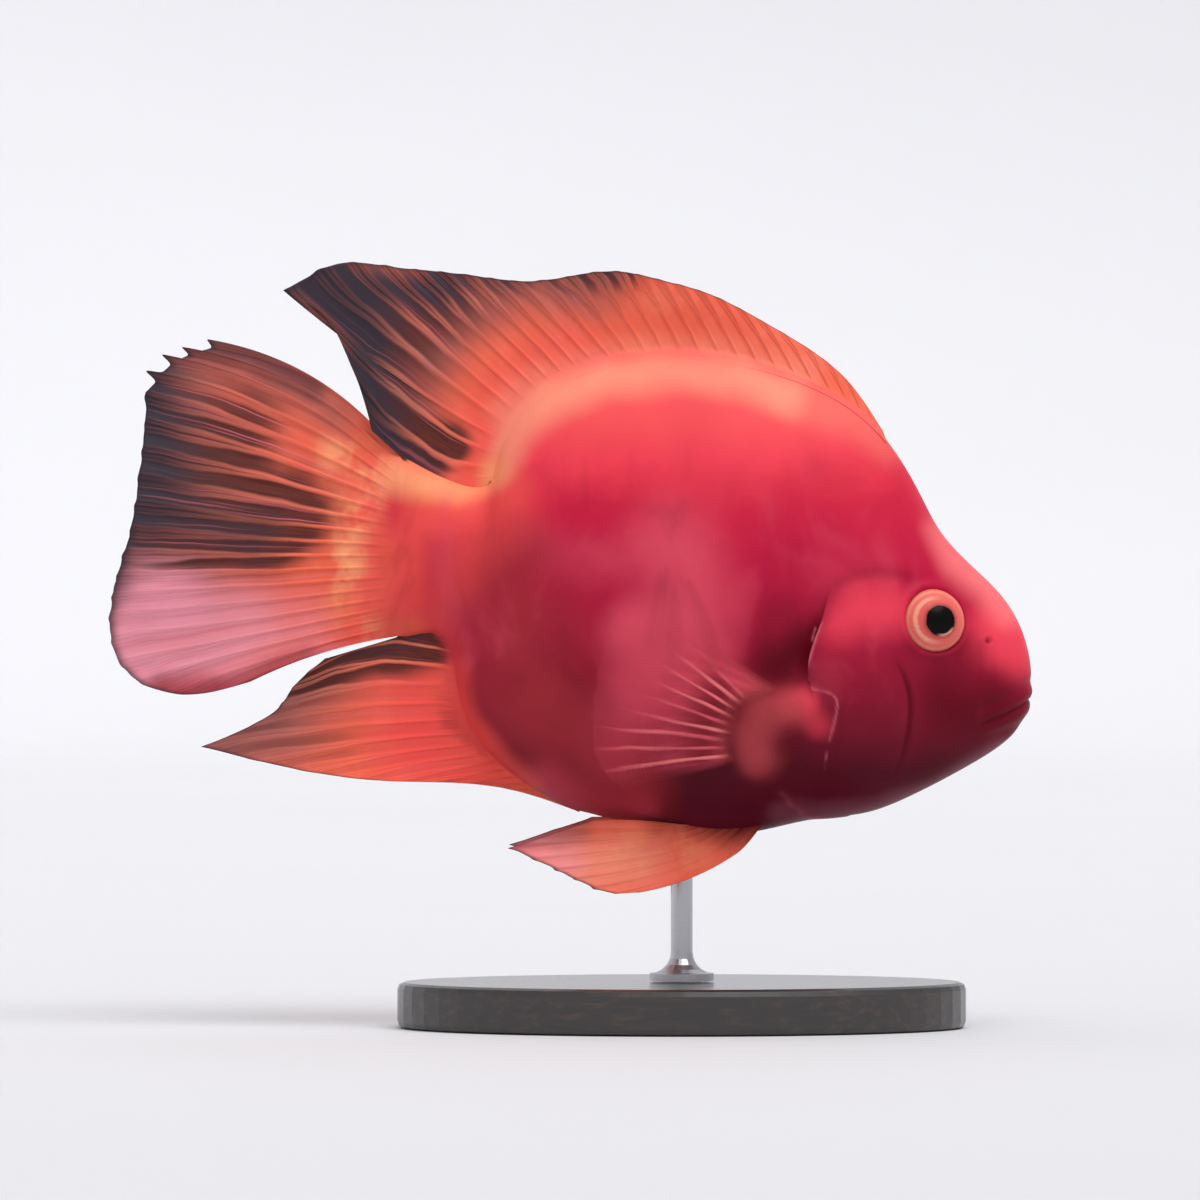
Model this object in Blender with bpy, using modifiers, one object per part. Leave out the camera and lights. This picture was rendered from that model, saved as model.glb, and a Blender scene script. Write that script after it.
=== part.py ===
"""A blood parrot cichlid, life size and still, held over a plain display stand.

Metres, +Z up. The head points along +X, the fish's right side faces -Y, and the stand rests on Z = 0.
The body is one loft of slanted sections, parted into head, trunk and tail stalk by thin cuts. The fins
are fans of rays whose ridges are raised in the fin's own surface, and they start on the skin they grow from.
"""

import math

import bmesh
import bpy
import numpy as np

MM = 0.001
GAP = 0.3 * MM

# Stations of the body from the mouth to the tail root, in millimetres: back x and z, belly x and z,
# half width, and how far the flank bows towards the tail there.
STATIONS = MM * np.array(
    [
        (100.0, 72.5, 100.0, 72.5, 0.0, 0.0),
        (100.0, 79.0, 98.9, 68.0, 4.8, 0.0),
        (96.8, 89.5, 94.6, 62.5, 9.6, 0.0),
        (89.0, 99.0, 84.8, 56.2, 13.8, 0.5),
        (80.8, 107.6, 74.4, 50.8, 17.0, 1.5),
        (76.3, 115.6, 65.0, 47.1, 19.8, 4.5),
        (69.8, 126.5, 53.7, 45.6, 22.3, 8.5),
        (59.6, 136.3, 42.2, 43.2, 23.8, 6.0),
        (41.1, 144.2, 30.2, 42.2, 24.0, 2.5),
        (19.3, 146.8, 16.0, 44.2, 22.0, 0.0),
        (1.9, 143.3, 1.4, 47.7, 18.5, 0.0),
        (-9.5, 135.5, -11.2, 54.8, 14.4, 0.0),
        (-14.9, 127.0, -18.8, 61.6, 11.4, 0.0),
        (-17.3, 119.8, -23.9, 71.4, 9.3, 0.0),
        (-22.1, 118.0, -26.0, 81.9, 7.8, 0.0),
        (-29.3, 120.6, -29.5, 85.8, 6.2, 0.0),
        (-37.4, 125.4, -37.8, 84.5, 3.8, 0.0),
    ]
)
GILL_STATION, STALK_STATION, TAIL_STATION = 6, 14, 16
BACK_PINCH, BELLY_WIDENING = 0.16, 0.13

# Soft swellings of the side, in millimetres: centre x and z, reach along x and z, height.
CHEEK_SWELLS = MM * np.array([(59.0, 70.0, 17.0, 27.0, 1.7), (84.0, 66.0, 13.0, 12.0, 0.9)])
SHOULDER_SWELLS = MM * np.array([(45.5, 65.0, 10.0, 12.0, 1.6)])

EYE_PLACE = MM * np.array((79.2, 88.8))
EYE_RADIUS, EYE_DEPTH, EYE_SUNK = 7.1 * MM, 4.8 * MM, 2.1 * MM
EYE_YAW, EYE_PITCH = math.radians(14), math.radians(6)
EYE_RIM_RADIUS = 0.9 * MM
NOSTRIL_PLACE, NOSTRIL_RADIUS = MM * np.array((90.3, 84.3)), 0.8 * MM
MOUTH_FRONT, MOUTH_CORNER = MM * np.array((99.9, 71.6)), MM * np.array((88.6, 66.4))
MOUTH_GROOVE, LIP_RADIUS, LIP_PROUD = 0.55 * MM, 1.5 * MM, 0.55 * MM

GILL_COVER_PLACE, GILL_COVER_REACH = MM * np.array((62.0, 71.5)), MM * np.array((11.8, 22.5))
GILL_COVER_DEPTH = 2.6 * MM

# Outer edges of the fins in millimetres, as (ray number, x, z). A new run starts at each pointed tip.
DORSAL_RAYS = 28
DORSAL_EDGE = (
    (
        (0, 67.8, 130.2),
        (1.5, 61.8, 139.2),
        (3.1, 55.0, 145.8),
        (5.5, 43.5, 153.0),
        (8.2, 31.3, 159.4),
        (11.0, 19.0, 163.1),
        (13.8, 5.8, 164.8),
        (16.2, -8.0, 162.8),
        (18.4, -19.9, 163.9),
        (22.0, -40.6, 166.3),
        (23.5, -51.5, 166.5),
        (25.0, -62.9, 160.7),
    ),
    ((25.0, -62.9, 160.7), (25.7, -55.2, 156.2), (26.6, -49.8, 148.2), (28.0, -43.9, 134.4)),
)
# How far rays bow forwards, or backwards where negative, as (ray number, share of the ray's length).
DORSAL_BULGE = ((0, 0.04), (14, 0.02), (23, -0.01), (25.5, -0.02), (27, -0.07), (28, -0.19))
ANAL_RAYS = 16
ANAL_EDGE = (
    (
        (0, 1.6, 47.0),
        (2.0, -9.0, 50.7),
        (5.6, -28.7, 53.5),
        (8.0, -48.3, 54.4),
        (9.6, -65.0, 57.3),
        (11.0, -80.9, 61.2),
    ),
    ((11.0, -80.9, 61.2), (12.0, -69.0, 66.4), (14.0, -60.8, 74.2), (16.0, -52.6, 81.3)),
)
ANAL_BULGE = ((0, 0.0), (8, 0.02), (11, 0.02), (13, 0.05), (16, 0.16))
TAIL_RAYS = 18
TAIL_EDGE = (
    ((0, -79.4, 150.1), (1.0, -85.1, 148.5), (2.0, -89.4, 146.8), (3.0, -92.9, 143.2)),
    (
        (3.0, -92.9, 143.2),
        (6.3, -93.9, 123.7),
        (10.0, -97.6, 103.0),
        (13.5, -100.9, 86.6),
        (15.0, -98.3, 78.8),
        (16.4, -91.0, 73.6),
        (17.3, -80.9, 72.7),
        (18.0, -70.0, 75.4),
    ),
)
PELVIC_RAYS = 8
PELVIC_EDGE = (
    ((0, 14.9, 30.0), (1.2, 8.4, 29.7), (2.8, 1.5, 32.3), (4.4, -5.3, 35.6), (6.0, -13.8, 39.5)),
    ((6.0, -13.8, 39.5), (7.0, -4.0, 42.8), (8.0, 4.5, 45.6)),
)
PELVIC_ROOT = MM * np.array(((43.5, 7.0), (32.0, 6.4)))
PELVIC_SPLAY = 7.0 * MM
PECTORAL_RAYS = 12
PECTORAL_EDGE = (
    (
        (0, 13.2, 91.9),
        (2.4, 7.5, 84.5),
        (4.8, 4.9, 73.6),
        (7.2, 4.5, 63.8),
        (9.6, 7.4, 55.6),
        (12, 15.5, 51.5),
    ),
)
PECTORAL_ROOT = MM * np.array(((46.2, 73.5), (43.0, 57.5)))
PECTORAL_SPLAY = 11.0 * MM

# Slopes of the tail fin's upper and lower edges at its root, and how far the other fins heed them.
TAIL_RISE, TAIL_FALL, STALK_CLEARING = 0.9, 0.3, 9.0 * MM

# Half thicknesses of the fins: fleshy root, membrane at the edge, ray above the membrane.
FIN_ROOT, FIN_EDGE, FIN_RAY = 1.1 * MM, 0.26 * MM, 0.34 * MM
# Share of a ray by which the membrane's edge draws back between two rays, and between the free ray tips
# of the tail fin's upper corner.
EDGE_NOTCH, SPIKE_NOTCH, UPPER_CORNER = 0.014, 0.055, 0.2

STAND_X = 24.0 * MM
BASE_LENGTH, BASE_WIDTH, BASE_HEIGHT = 124 * MM, 78 * MM, 10 * MM
ROD_RADIUS, FOOT_RADIUS, FOOT_HEIGHT = 2.4 * MM, 7.0 * MM, 1.6 * MM


def spline_through(knots, values):
    """A natural cubic spline through the values, as a function of the knots' parameter."""
    knots, values = np.asarray(knots, float), np.asarray(values, float)
    gaps, count = np.diff(knots), len(knots)
    system, right = np.eye(count), np.zeros_like(values)
    for i in range(1, count - 1):
        system[i, i - 1 : i + 2] = gaps[i - 1], 2 * (gaps[i - 1] + gaps[i]), gaps[i]
        slope_change = (values[i + 1] - values[i]) / gaps[i] - (values[i] - values[i - 1]) / gaps[i - 1]
        right[i] = 6 * slope_change
    bends = np.linalg.solve(system, right)

    def read(at):
        at = np.asarray(at, float)
        i = np.clip(np.searchsorted(knots, at) - 1, 0, count - 2)
        shape = at.shape + (1,) * (values.ndim - 1)
        step = gaps[i].reshape(shape)
        after = ((at - knots[i]) / gaps[i]).reshape(shape)
        before = 1 - after
        curved = (before**3 - before) * bends[i] + (after**3 - after) * bends[i + 1]
        return before * values[i] + after * values[i + 1] + curved * step**2 / 6

    return read


def station_parameters():
    """Distance along the body of each station: the mean of the steps along its back and its belly."""
    back = np.linalg.norm(np.diff(STATIONS[:, 0:2], axis=0), axis=1)
    belly = np.linalg.norm(np.diff(STATIONS[:, 2:4], axis=0), axis=1)
    return np.concatenate([[0.0], np.cumsum((back + belly) / 2)])


ALONG = station_parameters()
GILL, STALK, TAIL = ALONG[GILL_STATION], ALONG[STALK_STATION], ALONG[TAIL_STATION]
# One curve runs along the belly, through the mouth and on along the back, so the snout is smooth.
outline = spline_through(
    np.concatenate([-ALONG[:0:-1], ALONG]), np.concatenate([STATIONS[:0:-1, 2:4], STATIONS[:, 0:2]])
)
half_width = spline_through(ALONG, STATIONS[:, 4])
bow = spline_through(ALONG, STATIONS[:, 5])


def swelling(swells, x, z):
    """Height of the soft swellings at a place seen from the side: each a smooth mound over an ellipse."""
    height = np.zeros_like(x)
    for centre_x, centre_z, reach_x, reach_z, top in swells:
        share = 1 - ((x - centre_x) / reach_x) ** 2 - ((z - centre_z) / reach_z) ** 2
        height += top * np.clip(share, 0, 1) ** 2
    return height


def skin_point(along, turn, swells=CHEEK_SWELLS):
    """Points on the skin. turn runs round the body from the back (0) by the left side to the belly (pi).

    Each section is an oval on the line from back to belly, narrower above than below.
    """
    along, turn = np.broadcast_arrays(np.asarray(along, float), np.asarray(turn, float))
    back, belly = outline(along), outline(-along)
    up, side = np.cos(turn)[..., None], np.sin(turn)
    place = (back + belly) / 2 + up * (back - belly) / 2
    up = up[..., 0]
    x = place[..., 0] - bow(along) * side**2
    z = place[..., 1]
    fading = 1 - (along / TAIL) ** 2
    power = 1 + BACK_PINCH * up
    y = half_width(along) * np.sign(side) * np.abs(side) ** power * (1 - BELLY_WIDENING * fading * up)
    return np.stack([x, y + swelling(swells, x, z) * side, z], axis=-1)


def skin_at(target, seen=(0, 2), turns=(0.0, math.pi), swells=CHEEK_SWELLS):
    """The point of the left skin that is seen at target along the axis left out of seen.

    A grid search that narrows round the nearest point.
    """
    low, high = np.array([0.0, turns[0]]), np.array([TAIL, turns[1]])
    counts = (85, 43)
    for _ in range(9):
        along = np.linspace(low[0], high[0], counts[0])[:, None]
        turn = np.linspace(low[1], high[1], counts[1])[None, :]
        points = skin_point(along, turn, swells)
        distance = np.linalg.norm(points[..., list(seen)] - target, axis=-1)
        i, j = np.unravel_index(np.argmin(distance), distance.shape)
        best = np.array([along[i, 0], turn[0, j]])
        reach = 1.5 * (high - low) / (np.array(counts) - 1)
        low = np.maximum(best - reach, (0.0, turns[0]))
        high = np.minimum(best + reach, (TAIL, turns[1]))
        counts = (9, 9)
    return points[i, j]


def flank(x, z, swells=CHEEK_SWELLS):
    """Half width of the body where it is seen at x, z from the side."""
    return skin_at(np.array((x, z)), swells=swells)[1]


def material(name, colour, roughness, metallic=0.0):
    """A plain finish."""
    made = bpy.data.materials.new(name)
    made.use_nodes = True
    shader = made.node_tree.nodes["Principled BSDF"]
    shader.inputs["Base Color"].default_value = (*colour, 1)
    shader.inputs["Roughness"].default_value = roughness
    shader.inputs["Metallic"].default_value = metallic
    return made


def new_mesh_object(name, points, faces, finish, collection):
    """An object from points and faces, with its faces turned outwards and shaded smooth."""
    mesh = bpy.data.meshes.new(name)
    mesh.from_pydata(np.asarray(points).tolist(), [], faces)
    shape = bmesh.new()
    shape.from_mesh(mesh)
    bmesh.ops.recalc_face_normals(shape, faces=shape.faces)
    shape.to_mesh(mesh)
    shape.free()
    mesh.shade_smooth()
    mesh.materials.append(finish)
    made = bpy.data.objects.new(name, mesh)
    collection.objects.link(made)
    return made


def helper(made):
    """Marks a cutter, which isn't part of the fish."""
    made.hide_render = True
    made.display_type = "WIRE"
    return made


def combine(base, others, operation):
    """Applies one Boolean of the collection's meshes to base, removes them and keeps the largest body."""
    modifier = base.modifiers.new(operation.title(), "BOOLEAN")
    modifier.operation = operation
    modifier.operand_type = "COLLECTION"
    modifier.collection = others
    modifier.solver = "EXACT"
    bpy.context.view_layer.update()
    evaluated = base.evaluated_get(bpy.context.evaluated_depsgraph_get())
    mesh = bpy.data.meshes.new_from_object(evaluated)
    base.modifiers.clear()
    base.data = mesh
    for other in list(others.objects):
        bpy.data.objects.remove(other)
    keep_largest(mesh)


def keep_largest(mesh):
    """Drops every loose scrap that a Boolean left, by the number of its faces."""
    shape = bmesh.new()
    shape.from_mesh(mesh)
    waiting, bodies = set(shape.verts), []
    while waiting:
        body, front = set(), [waiting.pop()]
        while front:
            vertex = front.pop()
            body.add(vertex)
            for edge in vertex.link_edges:
                other = edge.other_vert(vertex)
                if other in waiting:
                    waiting.remove(other)
                    front.append(other)
        bodies.append(body)
    bodies.sort(key=len)
    for body in bodies[:-1]:
        bmesh.ops.delete(shape, geom=list(body), context="VERTS")
    shape.to_mesh(mesh)
    shape.free()


def ladder(first, count):
    """Faces that close a ring straight across, between its left points and its right ones."""
    faces = [(first, first + 1, first + count - 1)]
    half = count // 2
    for i in range(1, half - 1):
        faces.append((first + i, first + i + 1, first + count - i - 1, first + count - i))
    faces.append((first + half - 1, first + half, first + half + 1))
    return faces


def body_length(name, along, around, swells, finish, collection):
    """One length of the body through the sections along it, closed at the mouth by a pole or by a ladder."""
    rings, from_mouth = len(along) - 1, along[0] == 0.0
    turn = np.arange(around) * 2 * math.pi / around
    points = skin_point(along[:, None], turn[None, :], swells)
    # The right half copies the left exactly, so the ladders run straight across.
    half = around // 2
    points[:, half + 1 :] = points[:, half - 1 : 0 : -1] * (1, -1, 1)
    points[:, [0, half], 1] = 0.0
    if not from_mouth:
        points[0, :, 0] -= GAP / 2
    if along[-1] != TAIL:
        points[-1, :, 0] += GAP / 2
    faces = []
    first_ring = 1 if from_mouth else 0
    for ring in range(first_ring, rings):
        for i in range(around):
            j = (i + 1) % around
            a, b = ring * around, (ring + 1) * around
            faces.append((a + i, a + j, b + j, b + i))
    points = points.reshape(-1, 3)
    if from_mouth:
        faces += [(0, around + i, around + (i + 1) % around) for i in range(around)]
        used = np.r_[0, around : len(points)]
        renumber = np.zeros(len(points), int)
        renumber[used] = np.arange(len(used))
        points = points[used]
        faces = [tuple(int(renumber[i]) for i in face) for face in faces]
    else:
        faces += ladder(0, around)
    faces += ladder(len(points) - around, around)
    return new_mesh_object(name, points, faces, finish, collection)


def tube(name, points, radii, finish, collection):
    """A round bar along points with its own radius at each, closed at both ends."""
    curve = bpy.data.curves.new(name, "CURVE")
    curve.dimensions = "3D"
    curve.bevel_depth = 1.0
    curve.bevel_resolution = 1
    curve.twist_mode = "Z_UP"
    curve.use_fill_caps = True
    line = curve.splines.new("POLY")
    line.points.add(len(points) - 1)
    for point, place, radius in zip(line.points, points, radii):
        point.co = (*place, 1)
        point.radius = radius
    drawn = bpy.data.objects.new(name + "_line", curve)
    collection.objects.link(drawn)
    bpy.context.view_layer.update()
    mesh = bpy.data.meshes.new_from_object(drawn.evaluated_get(bpy.context.evaluated_depsgraph_get()))
    bpy.data.objects.remove(drawn)
    shape = bmesh.new()
    shape.from_mesh(mesh)
    bmesh.ops.remove_doubles(shape, verts=shape.verts, dist=0.01 * MM)
    bmesh.ops.recalc_face_normals(shape, faces=shape.faces)
    shape.to_mesh(mesh)
    shape.free()
    mesh.materials.clear()
    mesh.materials.append(finish)
    made = bpy.data.objects.new(name, mesh)
    collection.objects.link(made)
    return made


def eye_frame(side):
    """Centre of an eyeball and the turn of its axis. side is 1 on the left and -1 on the right."""
    x, z = EYE_PLACE
    centre = (x, side * (flank(x, z) - EYE_SUNK), z)
    return centre, (side * EYE_PITCH, 0, -side * EYE_YAW)


def ball(name, side, grown, finish, collection, segments=24, rings=12):
    """The eyeball, flattened towards the head, or its socket when it is grown."""
    centre, turn = eye_frame(side)
    bpy.ops.mesh.primitive_uv_sphere_add(
        segments=segments, ring_count=rings, radius=1, location=centre, rotation=(math.pi / 2, 0, 0)
    )
    made = bpy.context.object
    made.name = made.data.name = name
    bpy.ops.object.transform_apply(location=False, rotation=True, scale=False)
    made.scale = (EYE_RADIUS + grown, EYE_DEPTH + grown, EYE_RADIUS + grown)
    made.rotation_euler = turn
    bpy.ops.object.transform_apply(location=True, rotation=True, scale=True)
    return finished(made, finish, collection)


def finished(made, finish, collection):
    """Gives a primitive its finish, smooth shading and its place in a collection."""
    made.data.materials.clear()
    made.data.materials.append(finish)
    made.data.shade_smooth()
    for old in list(made.users_collection):
        old.objects.unlink(made)
    collection.objects.link(made)
    return made


def eye_rim(name, side, finish, collection):
    """The raised ring of skin round an eye."""
    centre, turn = eye_frame(side)
    bpy.ops.mesh.primitive_torus_add(
        major_segments=28,
        minor_segments=7,
        major_radius=EYE_RADIUS * 0.97,
        minor_radius=EYE_RIM_RADIUS,
        rotation=(math.pi / 2, 0, 0),
    )
    made = bpy.context.object
    made.name = made.data.name = name
    bpy.ops.object.transform_apply(location=False, rotation=True, scale=False)
    made.rotation_euler = turn
    made.location = (centre[0], centre[1] + side * EYE_SUNK * 0.62, centre[2])
    bpy.ops.object.transform_apply(location=True, rotation=True, scale=False)
    return finished(made, finish, collection)


def mouth_line(offset, sunk):
    """Points round the snout from the right corner of the mouth to the left one.

    offset moves the line square to itself in the side view, and sunk draws it into the skin.
    """
    shares = np.linspace(1, 0, 7)[:-1]
    along = MOUTH_CORNER - MOUTH_FRONT
    square = np.array((-along[1], along[0])) / np.linalg.norm(along)
    if square[1] < 0:
        square = -square
    right = []
    for share in shares:
        x, z = MOUTH_FRONT + along * share + square * offset
        inside = skin_at(np.array((x, z)))
        right.append((inside[0] - sunk * 0.5, -(inside[1] - sunk * 0.8), inside[2]))
    front = outline(0.0)
    middle = [(front[0] - sunk, 0.0, MOUTH_FRONT[1] + offset)]
    left = [(x, -y, z) for x, y, z in right[::-1]]
    return right + middle + left


def gill_cover_cutter(name, side, grown, finish, collection):
    """A lens that follows the cheek's own surface: the gill cover's outline, sunk by its depth."""
    bpy.ops.mesh.primitive_uv_sphere_add(segments=24, ring_count=12, radius=1)
    made = bpy.context.object
    made.name = made.data.name = name
    reach = GILL_COVER_REACH + grown
    lowest = outline(-GILL)[1] + 1.2 * MM
    for vertex in made.data.vertices:
        a, b, depth = vertex.co
        x = GILL_COVER_PLACE[0] + a * reach[0]
        z = max(GILL_COVER_PLACE[1] + b * reach[1], lowest)
        vertex.co = (x, side * (flank(x, z) + depth * (GILL_COVER_DEPTH + grown)), z)
    shape = bmesh.new()
    shape.from_mesh(made.data)
    bmesh.ops.recalc_face_normals(shape, faces=shape.faces)
    shape.to_mesh(made.data)
    shape.free()
    return finished(made, finish, collection)


def make_head(fish, cutters, skin, dark):
    """The head with lips, eye rims and nostrils, and the gill covers cut free of it."""
    head = body_length("head", GILL * np.linspace(0, 1, 27) ** 1.25, 44, CHEEK_SWELLS, skin, fish)
    for side, name in ((1, "gill_cover_left"), (-1, "gill_cover_right")):
        cover = bpy.data.objects.new(name, head.data.copy())
        fish.objects.link(cover)
        gill_cover_cutter("cover_shape", side, 0.0, skin, cutters)
        combine(cover, cutters, "INTERSECT")
        cover.data.name = name
    for offset, name in ((LIP_RADIUS * 0.95, "upper_lip"), (-LIP_RADIUS * 0.95, "lower_lip")):
        line = mouth_line(offset, LIP_RADIUS - LIP_PROUD)
        swell = np.sin(np.linspace(0, math.pi, len(line))) ** 0.5
        tube(name, line, LIP_RADIUS * (0.35 + 0.65 * swell), skin, cutters)
    for side, name in ((1, "left_rim"), (-1, "right_rim")):
        eye_rim(name, side, skin, cutters)
    combine(head, cutters, "UNION")
    line = mouth_line(0.0, 0.0)
    tube("mouth_groove", line, [MOUTH_GROOVE] * len(line), dark, cutters)
    for side in (1, -1):
        ball("socket", side, GAP, dark, cutters)
        x, z = NOSTRIL_PLACE
        bpy.ops.mesh.primitive_uv_sphere_add(
            segments=10, ring_count=6, radius=NOSTRIL_RADIUS, location=(x, side * flank(x, z), z)
        )
        finished(bpy.context.object, dark, cutters)
        gill_cover_cutter("cover_room", side, GAP, skin, cutters)
    combine(head, cutters, "DIFFERENCE")


def margin(runs, rays):
    """The outer edge at each ray number: smooth along a run, with a corner where two runs meet."""
    edge = np.zeros((len(rays), 2))
    for run in runs:
        run = np.array(run, float)
        here = (rays >= run[0, 0]) & (rays <= run[-1, 0])
        edge[here] = spline_through(run[:, 0], MM * run[:, 1:])(rays[here])
    return edge


def fan(root, edge, bulge, rows):
    """Rays from root to edge as rows of points: straight lines that bulge upwards in the middle.

    bulge is a share of each ray's length.
    """
    v = np.linspace(0, 1, rows + 1)[:, None, None]
    chord = edge - root
    across = np.stack([chord[:, 2], np.zeros(len(chord)), -chord[:, 0]], axis=1)
    return root + v * chord + 4 * v * (1 - v) * (bulge[:, None] * across)


def ray_ridge(rays):
    """1 on each ray and 0 half way between two."""
    return 0.5 + 0.5 * np.cos(2 * math.pi * rays)


def fin_thickness(rays, rows, root, edge=FIN_EDGE, ray=FIN_RAY):
    """Half thickness over the fan: a fleshy root that thins out, and rays that thin towards the edge."""
    v = np.linspace(0, 1, rows + 1)[:, None]
    return edge + (root - edge) * (1 - v) ** 4 + ray * ray_ridge(rays) * (1 - 0.75 * v)


def fin_plate(name, front, back, finish, collection):
    """A closed plate between two faces of points, split into the same triangles on both."""
    rows, columns = front.shape[:2]
    points = np.concatenate([front.reshape(-1, 3), back.reshape(-1, 3)])
    under = rows * columns

    def at(row, column):
        return row * columns + column

    faces = []
    for r in range(rows - 1):
        for c in range(columns - 1):
            a, b, d, e = at(r, c), at(r, c + 1), at(r + 1, c + 1), at(r + 1, c)
            triangles = ((a, b, d), (a, d, e)) if c % 2 else ((a, b, e), (b, d, e))
            faces += triangles
            faces += [tuple(i + under for i in reversed(t)) for t in triangles]
    rim = [at(0, c) for c in range(columns)]
    rim += [at(r, columns - 1) for r in range(1, rows)]
    rim += [at(rows - 1, c) for c in range(columns - 2, -1, -1)]
    rim += [at(r, 0) for r in range(rows - 2, 0, -1)]
    for a, b in zip(rim, rim[1:] + rim[:1]):
        faces.append((b, a, a + under, b + under))
    return new_mesh_object(name, points, faces, finish, collection)


def line_with_y(points, y=0.0):
    """Side view points (x, z) as points in space."""
    return np.stack([points[:, 0], np.full(len(points), y), points[:, 1]], axis=1)


def outward_of_outline(along):
    """The direction square to the body's outline, away from the body, in the side view."""
    step = 0.05 * MM
    run = outline(along + step) - outline(along - step)
    return np.stack([run[:, 1], -run[:, 0]], axis=1) / np.linalg.norm(run, axis=1, keepdims=True)


def seat_on_outline(front, back, along, thickness):
    """Sets the first row of both faces of a middle fin on the skin, GAP above it."""
    side = np.abs(along)
    up = np.where(along >= 0, 1.0, -1.0)
    width = half_width(side) * (1 - BELLY_WIDENING * up * (1 - (side / TAIL) ** 2))
    turn = (thickness / width) ** (1 / (1 + BACK_PINCH * up))
    points = skin_point(side, np.where(along >= 0, turn, math.pi - turn), SHOULDER_SWELLS)
    outward = line_with_y(outward_of_outline(along))
    outward *= np.where(outward[:, 2] * up >= 0, 1.0, -1.0)[:, None]
    front[0] = points + outward * GAP
    back[0] = front[0] * (1, -1, 1)


def middle_fin(name, runs, count, along, bulge, rows, wave, finish, collection):
    """A fin in the fish's middle plane, rooted on the outline between two places along it.

    along is the outline's parameter for the first and last ray, negative on the belly. The whole fan
    waves gently out of the plane towards its edge.
    """
    rays = np.arange(2 * count + 1) / 2
    places = np.linspace(along[0], along[1], len(rays))
    root = line_with_y(outline(places) + outward_of_outline(places) * GAP)
    edge = line_with_y(margin(runs, rays))
    bulges = np.interp(rays, *np.transpose(bulge))
    edge += EDGE_NOTCH * (ray_ridge(rays) - 1)[:, None] * (edge - root) * (rays > 1)[:, None]
    middle = fan(root, edge, bulges, rows)
    v = np.linspace(0, 1, rows + 1)[:, None]
    middle[..., 1] += wave * v**1.6 * np.sin(2 * math.pi * rays / count * 1.6 + 0.6)
    half = fin_thickness(rays, rows, FIN_ROOT)
    out = np.array((0.0, 1.0, 0.0))
    front, back = middle + half[..., None] * out, middle - half[..., None] * out
    seat_on_outline(front, back, places, half[0])
    keep_clear_of_stalk(front, back)
    return fin_plate(name, front, back, finish, collection)


def keep_clear_of_stalk(front, back):
    """Bends the hindmost rays clear of the tail stalk and of the tail fin's root, along which they lie."""
    stalk = np.linspace(STALK - 4 * MM, TAIL, 60)
    above, below = outline(stalk), outline(-stalk)
    for face in (front, back):
        x, z = face[1:, :, 0], face[1:, :, 2]
        past_end = np.clip(above[-1, 0] - x, 0, None)
        upper = np.interp(-x, -above[:, 0], above[:, 1]) + 2.5 * GAP + TAIL_RISE * past_end
        lower = np.interp(-x, -below[:, 0], below[:, 1]) - 2.5 * GAP - TAIL_FALL * past_end
        beside = (x < outline(STALK - 3 * MM)[0]) & (past_end < STALK_CLEARING)
        centre = (upper + lower) / 2
        z[:] = np.where(beside & (z > centre), np.maximum(z, upper), z)
        z[:] = np.where(beside & (z <= centre), np.minimum(z, lower), z)


def make_tail_fin(finish, collection):
    """The tail fin, which carries on from the end of the tail stalk and thins out to its edge."""
    rows = 9
    rays = np.arange(2 * TAIL_RAYS + 1) / 2
    share = rays / TAIL_RAYS
    top, bottom = outline(TAIL), outline(-TAIL)
    root = line_with_y(top + (bottom - top) * (0.02 + 0.96 * share)[:, None])
    root[:, 0] -= GAP
    edge = line_with_y(margin(TAIL_EDGE, rays))
    notch = np.where(share < UPPER_CORNER, SPIKE_NOTCH, EDGE_NOTCH)
    edge += (notch * (ray_ridge(rays) - 1))[:, None] * (edge - root)
    bulges = np.interp(share, (0, 0.4, 0.8, 1), (0.10, 0.0, 0.0, 0.04))
    middle = fan(root, edge, bulges, rows)
    v = np.linspace(0, 1, rows + 1)[:, None]
    middle[..., 1] += 3.5 * MM * v**1.5 * np.sin(2 * math.pi * share * 1.2 + 0.8)
    width = half_width(TAIL) * np.sqrt(np.clip(1 - (2 * share - 1) ** 2, 0.01, 1))
    half = fin_thickness(rays, rows, 0.0) * np.ones_like(width)
    half = half + (width - half[0]) * (1 - v) ** 3
    out = np.array((0.0, 1.0, 0.0))
    front, back = middle + half[..., None] * out, middle - half[..., None] * out
    return fin_plate("tail_fin", front, back, finish, collection)


def paired_fin(name, side, root_faces, edge, splay, bulge, rows, finish, collection):
    """A fin on one side: a fan from a seated root to an edge that stands off from the body.

    root_faces are the two seated rows of the root, outer and inner, on the left side.
    """
    outer, inner = root_faces
    root = (outer + inner) / 2
    count = (len(root) - 1) / 2
    rays = np.arange(len(root)) / 2
    rim = line_with_y(edge)
    rim[:, 1] = root[:, 1] + splay
    rim += EDGE_NOTCH * (ray_ridge(rays) - 1)[:, None] * (rim - root)
    middle = fan(root, rim, np.interp(rays, (0, count / 2, count), bulge), rows)
    v = np.linspace(0, 1, rows + 1)[:, None]
    middle[..., 1] += 0.8 * MM * np.sin(math.pi * v) * np.sin(math.pi * rays / count)
    across = np.cross(middle[-1] - root, np.gradient(rim, axis=0))
    across = across.mean(axis=0)
    across *= np.sign(across[1]) / np.linalg.norm(across)
    half = fin_thickness(rays, rows, FIN_ROOT)[..., None]
    front, back = middle + half * across, middle - half * across
    front[0], back[0] = outer, inner
    turned = np.array((1, side, 1))
    return fin_plate(name, front * turned, back * turned, finish, collection)


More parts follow.
